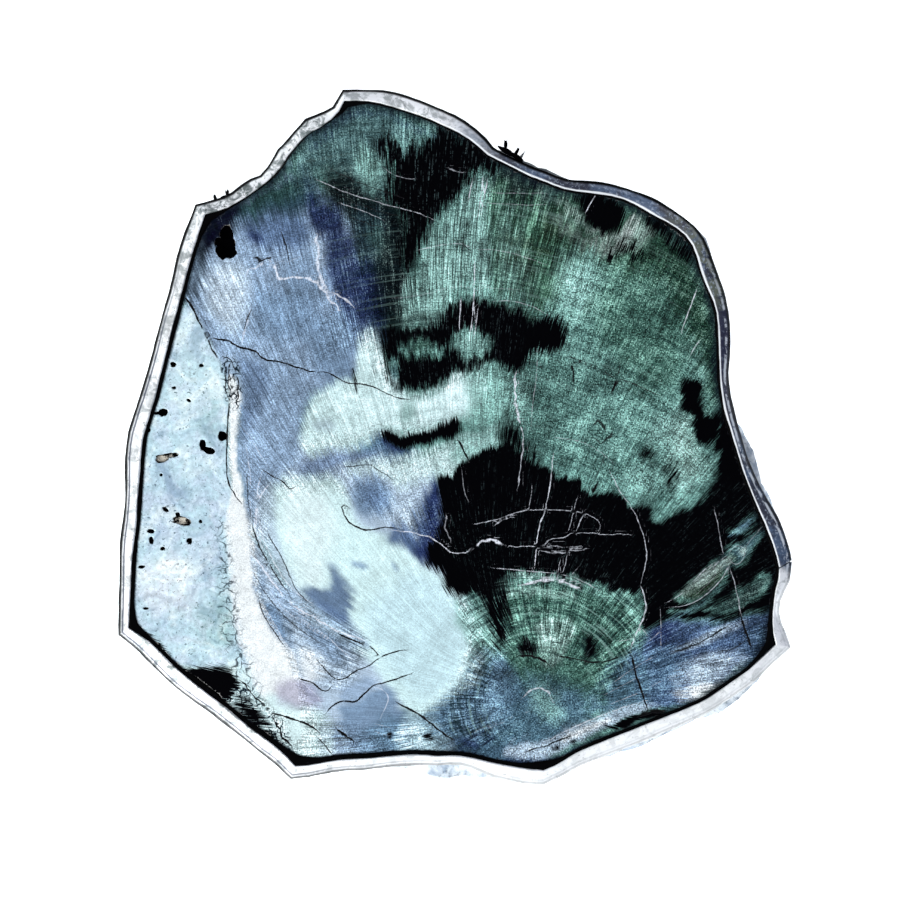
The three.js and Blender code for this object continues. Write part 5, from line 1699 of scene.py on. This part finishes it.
@dataclass(frozen=True)
class StripMetal:
    """The finish of the strip: pale satin metal, specked, with painted shade along the right side that stands in for a
    dark reflection, painted highlights along its edges there, and a painted shade line along its outer edge.
    """

    # Widths and places in pixels: the painted shade line along the outer edge, the second dark line, and the painted
    # highlight along the inner edge.
    outline_pixels: float = 2.9
    second_line: float = 4.9
    inner_highlight_width: float = 1.7
    skirt_top: float = 23.9 * MM
    skirt_blend: float = 0.3 * MM
    relief_depth: float = 0.14 * MM

    def make(self) -> bpy.types.Material:
        """Builds the material.

        Returns:
            The material.
        """
        material, b = new_bench("strip_metal")
        place = b.shade(b.add("ShaderNodeTexCoord"), "Object")
        outer, inner, mottle = b.split(b.attribute("rim"))
        # The shaded side is the right side, whose dark colours are painted shade standing in for a dark reflection;
        # navy and moss tint that painted shade.
        shaded_side, navy, moss = b.split(b.attribute("rim_shaded_side"))
        # line and band set how strong the painted shade line and the painted highlight along the outer edge are; double
        # sets the second dark line.
        line, double, band = b.split(b.attribute("rim_lines"))
        specks = b.noise(place, 640.0, 4.0, 0.7)
        cloud = b.noise(place, 200.0, 4.0, 0.65, 0.6)
        wide = b.noise(place, 70.0, 3.0, 0.5, 0.4)
        fine = b.noise(place, 1500.0, 2.0, 0.6)
        waver = (cloud - 0.5) * 2.6
        pale = b.mix(mottle * cloud.step(0.46, 0.62), tone((250, 252, 253)), tone((142, 152, 152)))
        pale = b.mix(mottle * (wide + cloud).step(0.98, 1.2) * 0.85, pale, tone((88, 98, 98)))
        pale = b.mix(specks.step(0.6, 0.67) * (mottle * 0.8 + 0.25), pale, tone((58, 64, 58)))
        # The painted shade of the right side: dark navy colours standing in for a dark reflection, with mottling and
        # specks.
        dark = b.mix(wide.step(0.44, 0.6), tone((24, 32, 56)), tone((74, 96, 126)))
        dark = b.mix(navy * 0.92, dark, tone((14, 14, 52)))
        dark = b.mix(moss * cloud.step(0.36, 0.56), dark, tone((96, 104, 90)))
        dark = b.mix(specks.step(0.54, 0.64) * (0.75 - navy * 0.5), dark, tone((168, 182, 200)))
        dark = b.mix((1.0 - specks).step(0.56, 0.64) * 0.75, dark, tone((14, 20, 34)))
        colour = b.mix(shaded_side, pale, dark)
        # Painted highlight along the inner edge on the shaded side.
        inner_highlight = (1.0 - (inner + waver * 0.4).step(self.inner_highlight_width * 0.7, self.inner_highlight_width * 1.3)) * shaded_side
        colour = b.mix(inner_highlight * 0.95, colour, tone((240, 244, 248)))
        # Painted highlight along the outer edge on the shaded side.
        far = (1.0 - (outer - self.outline_pixels - 2.0 + waver).absolute().step(0.7, 1.6)) * shaded_side
        colour = b.mix(far * band * cloud.step(0.42, 0.52) * 0.8, colour, tone((222, 230, 238)))
        # Painted shade line along the strip's outer rounded edge; the same mask darkens the burrs.
        edge = (1.0 - (outer + waver * 0.6).step(self.outline_pixels * 0.6, self.outline_pixels * 1.35)) * line
        height = b.split(place)[2]
        burr = (outer * -1.0).step(1.4, 2.2)
        edge = edge * height.step(self.skirt_top - self.skirt_blend, self.skirt_top + self.skirt_blend).larger(burr)
        colour = b.mix(edge, colour, tone((8, 10, 16)))
        second = 1.0 - (outer - self.second_line + waver * 0.5).absolute().step(0.5, 1.3)
        colour = b.mix(second * double, colour, tone((40, 48, 74)))
        rough = 0.42 + (cloud - 0.5) * 0.3 + specks * 0.1
        relief = cloud * 0.6 + specks * 0.3 + fine * 0.1
        # The painted shade line and the shaded side also turn partly unlit black as painted shade.
        b.surface(colour, rough, b.bump(relief, self.relief_depth), 0.4 - shaded_side * 0.25,
                  painted_shade=edge * 0.85 + shaded_side * 0.15, IOR=1.6)
        return material


@dataclass(frozen=True)
class BlackPuttyAndShade:
    """The finish of the bedding putty: dull black, with a little dust; the black also stands in for the shade in the
    gap under the strip's inner edge, so it is partly painted shade.
    """

    relief_depth: float = 0.15 * MM

    def make(self) -> bpy.types.Material:
        """Builds the material.

        Returns:
            The material.
        """
        material, b = new_bench("bedding_putty")
        place = b.shade(b.add("ShaderNodeTexCoord"), "Object")
        dust = b.noise(place, 700.0, 3.0, 0.6)
        waves = b.noise(place, 180.0, 2.0)
        colour = b.mix(dust.step(0.68, 0.78) * 0.35, tone((2, 2, 3)), tone((40, 44, 54)))
        rough = 0.6 + (dust - 0.5) * 0.3
        b.surface(colour, rough, b.bump(waves + dust * 0.4, self.relief_depth), IOR=1.45, Specular_IOR_Level=0.03)
        return material


def use_only(*objects: bpy.types.Object) -> None:
    """Leaves only these selected, and the first of them active.

    Args:
        objects: the objects.
    """
    bpy.ops.object.select_all(action="DESELECT")
    for thing in objects:
        thing.select_set(True)
    bpy.context.view_layer.objects.active = objects[0]


def copy_node(node: bpy.types.Object, name: str) -> bpy.types.Object:
    """A free copy of a CAD node with its loose triangles merged.

    Args:
        node: the node's object.
        name: the copy's name.

    Returns:
        The copy, selected alone.
    """
    piece = bpy.data.objects.new(name, node.data.copy())
    piece.data.materials.clear()
    bpy.context.scene.collection.objects.link(piece)
    use_only(piece)
    bpy.ops.object.mode_set(mode="EDIT")
    bpy.ops.mesh.select_all(action="SELECT")
    bpy.ops.mesh.remove_doubles(threshold=MERGE_GAP)
    bpy.ops.object.mode_set(mode="OBJECT")
    return piece


def apply_modifier(piece: bpy.types.Object, kind: str, **settings: object) -> None:
    """Adds a modifier to a piece and applies it.

    Args:
        piece: the piece.
        kind: the modifier's type.
        settings: its properties.
    """
    modifier = piece.modifiers.new(kind.lower(), kind)
    for name, value in settings.items():
        setattr(modifier, name, value)
    use_only(piece)
    bpy.ops.object.modifier_apply(modifier=modifier.name)


def boolean(piece: bpy.types.Object, tool: bpy.types.Object, operation: str) -> None:
    """Joins, cuts or crops a piece with a tool, which is then removed.

    Args:
        piece: the piece.
        tool: the tool.
        operation: which of the three.
    """
    apply_modifier(piece, "BOOLEAN", operation=operation, object=tool, solver="MANIFOLD")
    mesh = tool.data
    bpy.data.objects.remove(tool)
    bpy.data.meshes.remove(mesh)


def length_around(places: np.ndarray) -> np.ndarray:
    """How far round the slice each place lies, in mm at its usual radius."""
    return np.arctan2(places[:, 1], places[:, 0]) * USUAL_RADIUS


def turned(places: np.ndarray, degrees: float) -> np.ndarray:
    """Places turned about the upright line through the origin.

    Args:
        places: one row for each place.
        degrees: the turn, from +X towards +Y.

    Returns:
        The turned places.
    """
    angle = math.radians(degrees)
    result = places.copy()
    result[:, 0] = places[:, 0] * math.cos(angle) - places[:, 1] * math.sin(angle)
    result[:, 1] = places[:, 0] * math.sin(angle) + places[:, 1] * math.cos(angle)
    return result


def places_of(mesh: bpy.types.Mesh) -> np.ndarray:
    """The mesh's points, one row each.

    Args:
        mesh: the mesh.

    Returns:
        The places.
    """
    values = np.empty(len(mesh.vertices) * 3)
    mesh.vertices.foreach_get("co", values)
    return values.reshape(-1, 3)


def normals_of(mesh: bpy.types.Mesh) -> np.ndarray:
    """The mesh's point normals, one row each.

    Args:
        mesh: the mesh.

    Returns:
        The normals.
    """
    values = np.empty(len(mesh.vertices) * 3)
    mesh.vertices.foreach_get("normal", values)
    return values.reshape(-1, 3)


def move_points(mesh: bpy.types.Mesh, places: np.ndarray) -> None:
    """Puts the mesh's points at new places."""
    mesh.vertices.foreach_set("co", places.ravel())
    mesh.update()


def carry(mesh: bpy.types.Mesh, name: str, values: np.ndarray) -> None:
    """Stores one vector for each point of the mesh."""
    attribute = mesh.attributes.new(name, "FLOAT_VECTOR", "POINT")
    attribute.data.foreach_set("vector", values.astype(np.float32).ravel())


@dataclass
class WoodSlice:
    """The slice of petrified wood: a dense polished face, pits, a broken side and a sawn back."""

    node: str = "petrified_wood_slab"
    face_rise: float = 1.5 * MM
    cell: float = 0.99 * MM
    rebate_depth: float = 3.6 * MM
    bark_top: float = 12.9 * MM
    bark_relief: float = 0.9 * MM
    crack_depth: float = 0.25 * MM
    tremble: float = 0.02 * MM
    pit_rounds: int = 4
    smear: float = 9.0
    tolerance: float = 0.02 * MM
    hair: float = 0.001 * MM
    wall_gap: float = 0.1 * MM
    neck_reach: float = 0.4 * MM
    back_gap: float = 0.01 * MM
    face_band: float = 5 * MM
    face_floor: float = 15 * MM
    block_margin: float = 12 * MM
    block_depth: float = 10 * MM
    side_slope: float = 0.8
    smooth_angle: float = math.radians(35)
    middle_pixel: tuple[float, float] = (440, 440)
    painter: FacePainter = field(default_factory=FacePainter)

    def build(self) -> bpy.types.Object:
        """Builds the stone and dresses it.

        Returns:
            The finished stone.
        """
        self.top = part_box(self.node)[1].z
        body = copy_node(bpy.data.objects[self.node], "wood_slice")
        self._open_face(body)
        self._let_out(body)
        self._raise_face(body)
        self._roughen_side(body)
        boolean(body, self._dense_block(), "INTERSECT")
        for first in range(self.pit_rounds):
            numbers = range(first, len(PITS), self.pit_rounds)
            tools = [self._pit_tool(PITS[number], number) for number in numbers]
            use_only(*tools)
            bpy.ops.object.join()
            boolean(body, tools[0], "DIFFERENCE")
        self._sink_cracks(body)
        self._paint(body)
        self._dress(body)
        return body

    def _open_face(self, body: bpy.types.Object) -> None:
        """Takes away the face with its simple pits, and keeps its outline as an open edge.

        Args:
            body: the stone.
        """
        mesh = bmesh.new()
        mesh.from_mesh(body.data)
        rebate = self.top - self.rebate_depth
        neck = [f for f in mesh.faces if any(abs(v.co.z - rebate) < self.tolerance for v in f.verts)
                and any(abs(v.co.z - self.top) < self.tolerance for v in f.verts)]
        rim = {v for f in neck for v in f.verts if abs(v.co.z - self.top) < self.tolerance}
        pairs = {tuple(sorted((e.verts[0].index, e.verts[1].index))) for f in neck for e in f.edges
                 if e.verts[0] in rim and e.verts[1] in rim}
        spots = {v.index: v.co[:2] for v in rim}
        self.outline = self._ordered(pairs, spots)
        self.neck = Neck(self.outline)
        centres = np.array([f.calc_center_median()[:] for f in mesh.faces])
        depth = depth_inside(centres[:, :2], self.outline)
        face = [f for f, c, d in zip(mesh.faces, centres, depth) if c[2] > self.face_floor and d > self.hair]
        bmesh.ops.delete(mesh, geom=face, context="FACES")
        mesh.to_mesh(body.data)
        mesh.free()

    def _let_out(self, body: bpy.types.Object) -> None:
        """Moves the wall round the face outward, so that only a thin line of putty shows.

        Args:
            body: the stone.
        """
        places = places_of(body.data)
        wall = places[:, 2] > self.top - self.rebate_depth - self.wall_gap
        places[wall] = self.neck.let_out(places[wall], self.neck_reach)
        move_points(body.data, places)
        self.outline = self.outline + self.neck.shift

    def _ordered(self, pairs: set, spots: dict) -> np.ndarray:
        """The outline's points in order round the face.

        Args:
            pairs: the numbers of the two points of each edge.
            spots: each point's place by its number.

        Returns:
            The points of the closed route, one row each. Where the route is broken, it goes on at the nearest point.
        """
        neighbours: dict[int, set[int]] = {}
        for first, second in pairs:
            neighbours.setdefault(first, set()).add(second)
            neighbours.setdefault(second, set()).add(first)
        unseen = set(neighbours)
        route = [unseen.pop()]
        while unseen:
            following = [n for n in neighbours[route[-1]] if n in unseen]
            if not following:
                x, y = spots[route[-1]]
                following = [min(unseen, key=lambda n: math.hypot(spots[n][0] - x, spots[n][1] - y))]
            route.append(following[0])
            unseen.discard(following[0])
        return np.array([spots[number] for number in route])

    def _raise_face(self, body: bpy.types.Object) -> None:
        """Draws the open edge up past the face and closes it.

        Args:
            body: the stone.
        """
        use_only(body)
        bpy.ops.object.mode_set(mode="EDIT")
        bpy.ops.mesh.select_mode(type="EDGE")
        bpy.ops.mesh.select_all(action="DESELECT")
        bpy.ops.mesh.select_non_manifold()
        bpy.ops.mesh.extrude_region_move(TRANSFORM_OT_translate={"value": (0, 0, self.face_rise)})
        bpy.ops.mesh.edge_face_add()
        bpy.ops.mesh.select_all(action="SELECT")
        bpy.ops.mesh.normals_make_consistent(inside=False)
        bpy.ops.object.mode_set(mode="OBJECT")

    def _roughen_side(self, body: bpy.types.Object) -> None:
        """Cuts the side below the strip finer and breaks it up.

        Args:
            body: the stone.
        """
        use_only(body)
        bpy.ops.object.mode_set(mode="EDIT")
        bpy.ops.mesh.select_mode(type="FACE")
        bpy.ops.object.mode_set(mode="OBJECT")
        for polygon in body.data.polygons:
            polygon.select = polygon.center.z < self.bark_top and abs(polygon.normal.z) < self.side_slope
        bpy.ops.object.mode_set(mode="EDIT")
        bpy.ops.mesh.subdivide(number_cuts=2)
        bpy.ops.object.mode_set(mode="OBJECT")
        places = places_of(body.data)
        normals = normals_of(body.data)
        around = length_around(places)
        height = places[:, 2] / MM
        lattice = Lattice(Seed.BARK)
        lumps = lattice.layered(around / 6, height / 7, 2)
        splits = -np.abs(lattice.layered(around / 2.2 + 30, height / 9, 3))
        flat = normals * np.array([1, 1, 0])
        flat /= np.maximum(np.linalg.norm(flat, axis=1), 1e-6)[:, None]
        side = (height < self.bark_top / MM - 0.1) & (np.abs(normals[:, 2]) < self.side_slope)
        amount = self.bark_relief * (0.7 * lumps + 0.9 * splits + 0.1)
        places += np.where(side, amount, 0)[:, None] * flat
        move_points(body.data, places)

    def _dense_block(self) -> bpy.types.Object:
        """A block with a finely divided top at the height of the face, to crop the raised body with.

        Returns:
            The block.
        """
        low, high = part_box(self.node)
        size = (high - low).xy + (high - low).xy.normalized() * self.block_margin
        cells = [round(s / self.cell) for s in size]
        middle = (low + high) / 2
        bpy.ops.mesh.primitive_grid_add(
            x_subdivisions=cells[0], y_subdivisions=cells[1], size=1, location=(middle.x, middle.y, self.top))
        block = bpy.context.object
        block.scale = (size.x, size.y, 1)
        use_only(block)
        bpy.ops.object.transform_apply(location=True, rotation=False, scale=True)
        places = places_of(block.data)
        places[:, 2] += np.random.default_rng(Seed.TREMBLE).uniform(-1, 1, len(places)) * self.tremble
        move_points(block.data, places)
        bpy.ops.object.mode_set(mode="EDIT")
        bpy.ops.mesh.select_all(action="SELECT")
        bpy.ops.mesh.extrude_region_move(TRANSFORM_OT_translate={"value": (0, 0, -(self.top + self.block_depth))})
        bpy.ops.mesh.select_all(action="SELECT")
        bpy.ops.mesh.normals_make_consistent(inside=False)
        bpy.ops.object.mode_set(mode="OBJECT")
        return block

    def _pit_tool(self, pit: Pit, number: int) -> bpy.types.Object:
        """A knobbly lens to cut one pit with.

        Args:
            pit: the pit.
            number: its number, which seeds its lumps.

        Returns:
            The lens.
        """
        x, y = SCALE.to_part(*pit.centre)
        bpy.ops.mesh.primitive_ico_sphere_add(subdivisions=4, radius=1)
        tool = bpy.context.object
        places = places_of(tool.data)
        lattice = Lattice(Seed.PITS + number)
        bumps = lattice.layered(places[:, 0] * 1.8 + places[:, 2], places[:, 1] * 1.8 - places[:, 2], 3)
        places *= (1 + pit.rough * bumps)[:, None]
        pixel = SCALE.metres_per_pixel
        places *= np.array([pit.half[0] * pixel, pit.half[1] * pixel, pit.depth * MM])
        move_points(tool.data, turned(places, pit.turn) + np.array([x, y, self.top]))
        return tool

    def _sink_cracks(self, body: bpy.types.Object) -> None:
        """Lets the cracks sink a little into the face.

        Args:
            body: the stone.
        """
        places = places_of(body.data)
        top = places[:, 2] > self.top - 2 * self.tremble
        places[top, 2] = self.top
        pixels = SCALE.to_pixels(places[top])
        side, half, strength = self.painter.lines(pixels, CRACKS).T
        sunk = strength * np.exp(-((np.abs(side) / (half + 0.6)) ** 2)) * (half > 0.1)
        places[top, 2] -= self.crack_depth * sunk
        move_points(body.data, places)

    def _paint(self, body: bpy.types.Object) -> None:
        """Stores at every point what the finish reads there.

        Args:
            body: the stone.
        """
        places = places_of(body.data)
        pixels = SCALE.to_pixels(places)
        inside = depth_inside(places[:, :2], self.outline) / SCALE.metres_per_pixel
        face = np.flatnonzero((places[:, 2] > self.top - self.face_band) & (inside > -2))
        spots = pixels[face]
        ray, ring, direction = self.painter.grain.read(spots)
        zones = self.painter.zones(spots)
        smear = (self.smear * np.clip(zones[:, 1] / 0.7, 0, 1))[:, None] * direction
        depth, rag = self.painter.stain(spots)
        sunk = smooth_step(0.35, 0.6, (self.top - places[face, 2]) / MM)
        crust = np.zeros(len(spots))
        for pit in PITS:
            if pit.crusted:
                gap = (spots - np.array(pit.centre)) / np.array(pit.half)
                crust = np.maximum(crust, 1 - smooth_step(0.5, 0.95, np.hypot(*gap.T)))
        layers = {
            "grain": np.stack([np.cos(ray), np.sin(ray), ring / self.painter.grain.ring_unit], axis=1),
            "tint": self.painter.tint(spots + smear),
            "tint_low": self.painter.tint(spots - smear),
            # The third value is the distance inside the face's edge, for the painted shade there.
            "stain": np.stack([depth, rag, inside[face] / self._edge_shade_strength(spots)], axis=1),
            "figure": zones[:, :3],
            "special": zones[:, 3:],
            "relief": np.stack([sunk, crust, np.zeros(len(spots))], axis=1),
            "veins": self.painter.lines(spots, VEINS),
            "cracks": self.painter.lines(spots, CRACKS),
        }
        for name, values in layers.items():
            whole = np.zeros((len(places), 3))
            whole[face] = values
            carry(body.data, name, whole)

    def _edge_shade_strength(self, spots: np.ndarray) -> np.ndarray:
        """How strong the painted shade along the face's edge is: full at the top and the right, little elsewhere.

        Args:
            spots: one row for each place, in pixels of the photograph.

        Returns:
            One value for each place.
        """
        offset = spots - np.array(self.middle_pixel)
        share = smooth_step(-0.55, 0.5, (offset[:, 0] * 0.8 - offset[:, 1] * 0.75) / np.hypot(*offset.T))
        return 0.25 + 0.75 * share

    def _dress(self, body: bpy.types.Object) -> None:
        """Gives the face, the side and the back their finishes.

        Args:
            body: the stone.
        """
        body.data.materials.clear()
        for finish in (PolishedWood(), RoughStone(), SawnStone()):
            body.data.materials.append(finish.make())
        centres = np.empty(len(body.data.polygons) * 3)
        body.data.polygons.foreach_get("center", centres)
        centres = centres.reshape(-1, 3)
        inside = depth_inside(centres[:, :2], self.outline) > -self.hair
        slots = np.where(inside & (centres[:, 2] > self.face_floor), 0, 1)
        slots = np.where(centres[:, 2] < self.back_gap, 2, slots)
        body.data.polygons.foreach_set("material_index", slots.astype(np.int32))
        use_only(body)
        bpy.ops.object.shade_smooth_by_angle(angle=self.smooth_angle)


@dataclass
class RimStrip:
    """The bent metal strip: a sloping face round the stone and a skirt down its side."""

    node: str = "rim_strip"
    round_off: float = 0.22 * MM
    hammer: float = 0.16 * MM
    wave: float = 0.3 * MM
    outer_drop: float = 3.7 * MM
    inner_drop: float = 0.5 * MM
    flat_angle: float = math.radians(30)
    flat_shape: float = math.radians(60)
    bevel_angle: float = math.radians(24)
    burr_rough: float = 0.4
    # Stops round the slice for each tone: mottle blotches the pale metal; the shaded side is the right side, painted
    # dark as shade that stands in for a dark reflection; navy and moss tint that painted shade; far sets the painted
    # highlight along the outer edge; line sets the painted shade line along the outer edge; double sets a second dark
    # line.
    tones: tuple[tuple[str, Points], ...] = (
        ("mottle", ((-75, 0.15), (-33, 0.2), (-22, 0.4), (84, 0.35), (95, 0.55), (107, 0.45), (110, 1.0),
                    (124, 0.8), (128, 1.0), (137, 1.0), (141, 0.7), (150, 0.5), (208, 0.4), (212, 0.85),
                    (243, 0.6), (250, 0.25))),
        ("shaded_side", ((-22.4, 0.0), (-21.6, 1.0), (80, 1.0), (90, 0.25), (96, 0.0), (180, 0.0))),
        ("navy", ((-1, 0.0), (4, 1.0), (25, 1.0), (28, 0.0))),
        ("moss", ((24, 0.0), (29, 1.0), (42, 1.0), (48, 0.0))),
        ("far", ((-23, 1.0), (24, 1.0), (30, 0.6), (38, 0.15), (110, 0.0), (180, 0.0))),
        ("line", ((-76, 0.2), (-33, 0.2), (-23, 0.25), (-21, 0.6), (26, 0.65), (40, 0.95), (84, 1.0),
                  (138, 1.0), (150, 0.95), (208, 0.9), (212, 0.75), (243, 0.7), (250, 0.6))),
        ("double", ((-76, 0.15), (-30, 0.15), (-22, 0.0), (140, 0.0), (165, 0.85), (209, 0.85), (213, 0.85),
                    (243, 0.8), (250, 0.45))),
    )
    # Each burr's centre, half width and half length in pixels of the photograph, and its turn in degrees.
    burrs: tuple[tuple[float, float, float, float, float], ...] = (
        (214.5, 197.5, 1.6, 3.4, 100), (218.5, 199.5, 1.5, 5.0, 20), (223.5, 197.0, 1.6, 4.4, 35),
        (227.2, 192.8, 1.6, 3.6, 75), (505.6, 144.5, 1.8, 5.4, 95), (506.0, 150.6, 2.8, 8.0, -32),
        (516.4, 152.0, 1.7, 5.2, 62), (517.0, 156.8, 2.4, 7.5, -32),
    )

    def build(self) -> bpy.types.Object:
        """Builds the strip and dresses it.

        Returns:
            The finished strip.
        """
        strip = copy_node(bpy.data.objects[self.node], "metal_strip")
        bpy.ops.object.mode_set(mode="EDIT")
        bpy.ops.mesh.select_all(action="SELECT")
        bpy.ops.mesh.tris_convert_to_quads(face_threshold=self.flat_angle, shape_threshold=self.flat_shape)
        bpy.ops.object.mode_set(mode="OBJECT")
        apply_modifier(strip, "BEVEL", width=self.round_off, segments=2, limit_method="ANGLE",
                       angle_limit=self.bevel_angle)
        apply_modifier(strip, "SUBSURF", levels=1, render_levels=1, subdivision_type="SIMPLE")
        apply_modifier(strip, "TRIANGULATE")
        self._hammer(strip)
        self._add_burrs(strip)
        self._mark(strip)
        strip.data.materials.append(StripMetal().make())
        use_only(strip)
        bpy.ops.object.shade_smooth_by_angle(angle=SMOOTH_ANGLE)
        return strip

    def _add_burrs(self, strip: bpy.types.Object) -> None:
        """Sets the dark burrs on the strip's outer edge.

        Args:
            strip: the strip.
        """
        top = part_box(self.node)[1].z
        pixel = SCALE.metres_per_pixel
        tools = []
        for number, (px, py, width, length, turn) in enumerate(self.burrs):
            bpy.ops.mesh.primitive_ico_sphere_add(subdivisions=3, radius=1)
            burr = bpy.context.object
            places = places_of(burr.data)
            lattice = Lattice(Seed.BURRS + number)
            bumps = lattice.layered(places[:, 0] * 2.2, places[:, 1] * 2.2 + places[:, 2], 2)
            places *= (1 + self.burr_rough * bumps)[:, None] * np.array([length, width, width]) * pixel
            place = np.array([*SCALE.to_part(px, py), top - self.outer_drop])
            move_points(burr.data, turned(places, turn) + place)
            tools.append(burr)
        use_only(strip, *tools)
        bpy.ops.object.join()

    def _mark(self, strip: bpy.types.Object) -> None:
        """Stores how far each point is from the strip's two edges, and the metal's tone there, with the painted shade
        of the right side and the strengths of the painted highlight and shade lines.

        Args:
            strip: the strip.
        """
        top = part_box(self.node)[1].z
        places = places_of(strip.data)
        pixel = SCALE.metres_per_pixel
        outer = depth_inside(places[:, :2], loop_at(self.node, top - self.outer_drop)) / pixel
        inner = np.abs(depth_inside(places[:, :2], loop_at(self.node, top - self.inner_drop))) / pixel
        values = {name: by_angle(places, stops) for name, stops in self.tones}
        carry(strip.data, "rim", np.stack([outer, inner, values["mottle"]], axis=1))
        carry(strip.data, "rim_shaded_side", np.stack([values["shaded_side"], values["navy"], values["moss"]], axis=1))
        carry(strip.data, "rim_lines", np.stack([values["line"], values["double"], values["far"]], axis=1))

    def _hammer(self, strip: bpy.types.Object) -> None:
        """Makes the strip as uneven as hand-bent metal is.

        Args:
            strip: the strip.
        """
        places = places_of(strip.data)
        normals = normals_of(strip.data)
        around = length_around(places)
        across = np.hypot(places[:, 0], places[:, 1]) / MM
        lattice = Lattice(Seed.DENTS)
        dents = lattice.layered(around / 3.5, across / 3 + places[:, 2] / MM / 3, 2)
        waves = lattice.at(around / 13 + 50, places[:, 2] / MM / 20)
        places += (self.hammer * dents + self.wave * waves)[:, None] * normals
        move_points(strip.data, places)


@dataclass
class PuttyBead:
    """The black putty between stone and strip, swelled to meet both; its black line also stands in for the shade in the
    gap under the strip's inner edge.
    """

    stone: WoodSlice
    node: str = "bedding_putty"
    neck_reach: float = 0.5 * MM
    swell: float = 0.33 * MM
    uneven: float = 0.3 * MM

    def build(self) -> bpy.types.Object:
        """Builds the bead and dresses it.

        Returns:
            The finished bead.
        """
        bead = copy_node(bpy.data.objects[self.node], "putty_bead")
        move_points(bead.data, self.stone.neck.let_out(places_of(bead.data), self.neck_reach))
        bpy.ops.object.mode_set(mode="EDIT")
        bpy.ops.mesh.select_all(action="SELECT")
        bpy.ops.transform.shrink_fatten(value=self.swell)
        bpy.ops.mesh.subdivide(number_cuts=3)
        bpy.ops.object.mode_set(mode="OBJECT")
        places = places_of(bead.data)
        around = length_around(places)
        radius = np.hypot(places[:, 0], places[:, 1])
        lattice = Lattice(Seed.PUTTY)
        shift = self.uneven * lattice.layered(around / 4, radius / MM / 4, 3)
        places[:, :2] *= (1 + shift / radius)[:, None]
        places[:, 2] += 0.3 * self.uneven * lattice.layered(around / 3 + 50, radius / MM, 2)
        move_points(bead.data, places)
        bead.data.materials.append(BlackPuttyAndShade().make())
        use_only(bead)
        bpy.ops.object.shade_smooth_by_angle(angle=SMOOTH_ANGLE)
        return bead


@dataclass
class Studio:
    """The camera straight above the slice, the pale floor and the soft light."""

    lens: float = 150.0
    sensor: float = 36.0
    floor_size: float = 6.0
    floor_drop: float = 0.3 * MM
    view_end: float = 50.0
    key_place: tuple[float, float, float] = (-1.1, -1.0, 1.15)
    key_size: float = 1.3
    key_energy: float = 34.0
    fill_place: tuple[float, float, float] = (0.9, 1.1, 1.3)
    fill_size: float = 1.2
    fill_energy: float = 12.0

    def build(self) -> None:
        """Sets up the view and the light."""
        self._camera()
        self._floor()
        self._lamp("key", self.key_place, self.key_size, self.key_energy)
        self._lamp("fill", self.fill_place, self.fill_size, self.fill_energy)
        self._world()
        scene = bpy.context.scene
        scene.view_settings.view_transform = "Standard"
        scene.view_settings.look = "None"

    def _camera(self) -> None:
        """Hangs the camera over the middle of the photograph."""
        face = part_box("petrified_wood_slab")[1].z
        width = SCALE.frame_pixels * SCALE.metres_per_pixel
        middle = SCALE.frame_pixels / 2
        x, y = SCALE.to_part(middle, middle)
        data = bpy.data.cameras.new("camera")
        data.lens = self.lens
        data.sensor_width = self.sensor
        data.clip_end = self.view_end
        camera = bpy.data.objects.new("camera", data)
        camera.location = (x, y, face + width * self.lens / self.sensor)
        bpy.context.scene.collection.objects.link(camera)
        bpy.context.scene.camera = camera

    def _floor(self) -> None:
        """Lays a pale floor under the slice."""
        bpy.ops.mesh.primitive_plane_add(size=self.floor_size, location=(0, 0, -self.floor_drop))
        floor = bpy.context.object
        floor.name = "floor"
        material, b = new_bench("pale_floor")
        b.surface(tone((250, 252, 253)), 0.9, Emission_Color=tone((250, 254, 255)), Emission_Strength=0.85,
                  Specular_IOR_Level=0.0)
        floor.data.materials.append(material)

    def _lamp(self, name: str, place: tuple[float, float, float], size: float, energy: float) -> None:
        """Adds one broad soft lamp that faces the slice.

        Args:
            name: the lamp's name.
            place: where it hangs, in metres.
            size: its width in metres.
            energy: its power in watts.
        """
        data = bpy.data.lights.new(name, "AREA")
        data.shape = "DISK"
        data.size = size
        data.energy = energy
        lamp = bpy.data.objects.new(name, data)
        lamp.location = place
        x, y, z = place
        lamp.rotation_euler = (math.atan2(math.hypot(x, y), z), 0, math.atan2(y, x) + math.pi / 2)
        bpy.context.scene.collection.objects.link(lamp)

    def _world(self) -> None:
        """A soft surround, bright low at the left and dark overhead and at the right."""
        world = bpy.data.worlds.new("surround")
        world.use_nodes = True
        bpy.context.scene.world = world
        b = Bench(world.node_tree)
        x, y, z = b.split(b.shade(b.add("ShaderNodeTexCoord"), "Generated"))
        bright = (x * -0.75 - y * 0.55 + 0.35).step(-0.45, 0.5)
        overhead = z.step(0.78, 0.93)
        colour = b.mix(bright, tone((64, 74, 118)), tone((236, 242, 248)))
        colour = b.mix(overhead, colour, tone((8, 10, 14)))
        background = b.add("ShaderNodeBackground", None, {"Color": colour, "Strength": 0.9})
        b.add("ShaderNodeOutputWorld", None, {"Surface": b.shade(background)})


def main() -> None:
    """Builds everything in order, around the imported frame."""
    logging.basicConfig(level=logging.INFO, format="%(message)s")
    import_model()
    stone = WoodSlice()
    builders = {
        "petrified_wood_slab": (stone, "petrified_wood"),
        "rim_strip": (RimStrip(), "strip_metal"),
        "bedding_putty": (PuttyBead(stone), "putty"),
    }
    for node, (builder, slot) in builders.items():
        piece = builder.build()
        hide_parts(node)
        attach(piece, "root")
        log.info("%s stands for %s with %d faces", piece.name, node, len(piece.data.polygons))
    Studio().build()


if __name__ == "__main__":
    main()
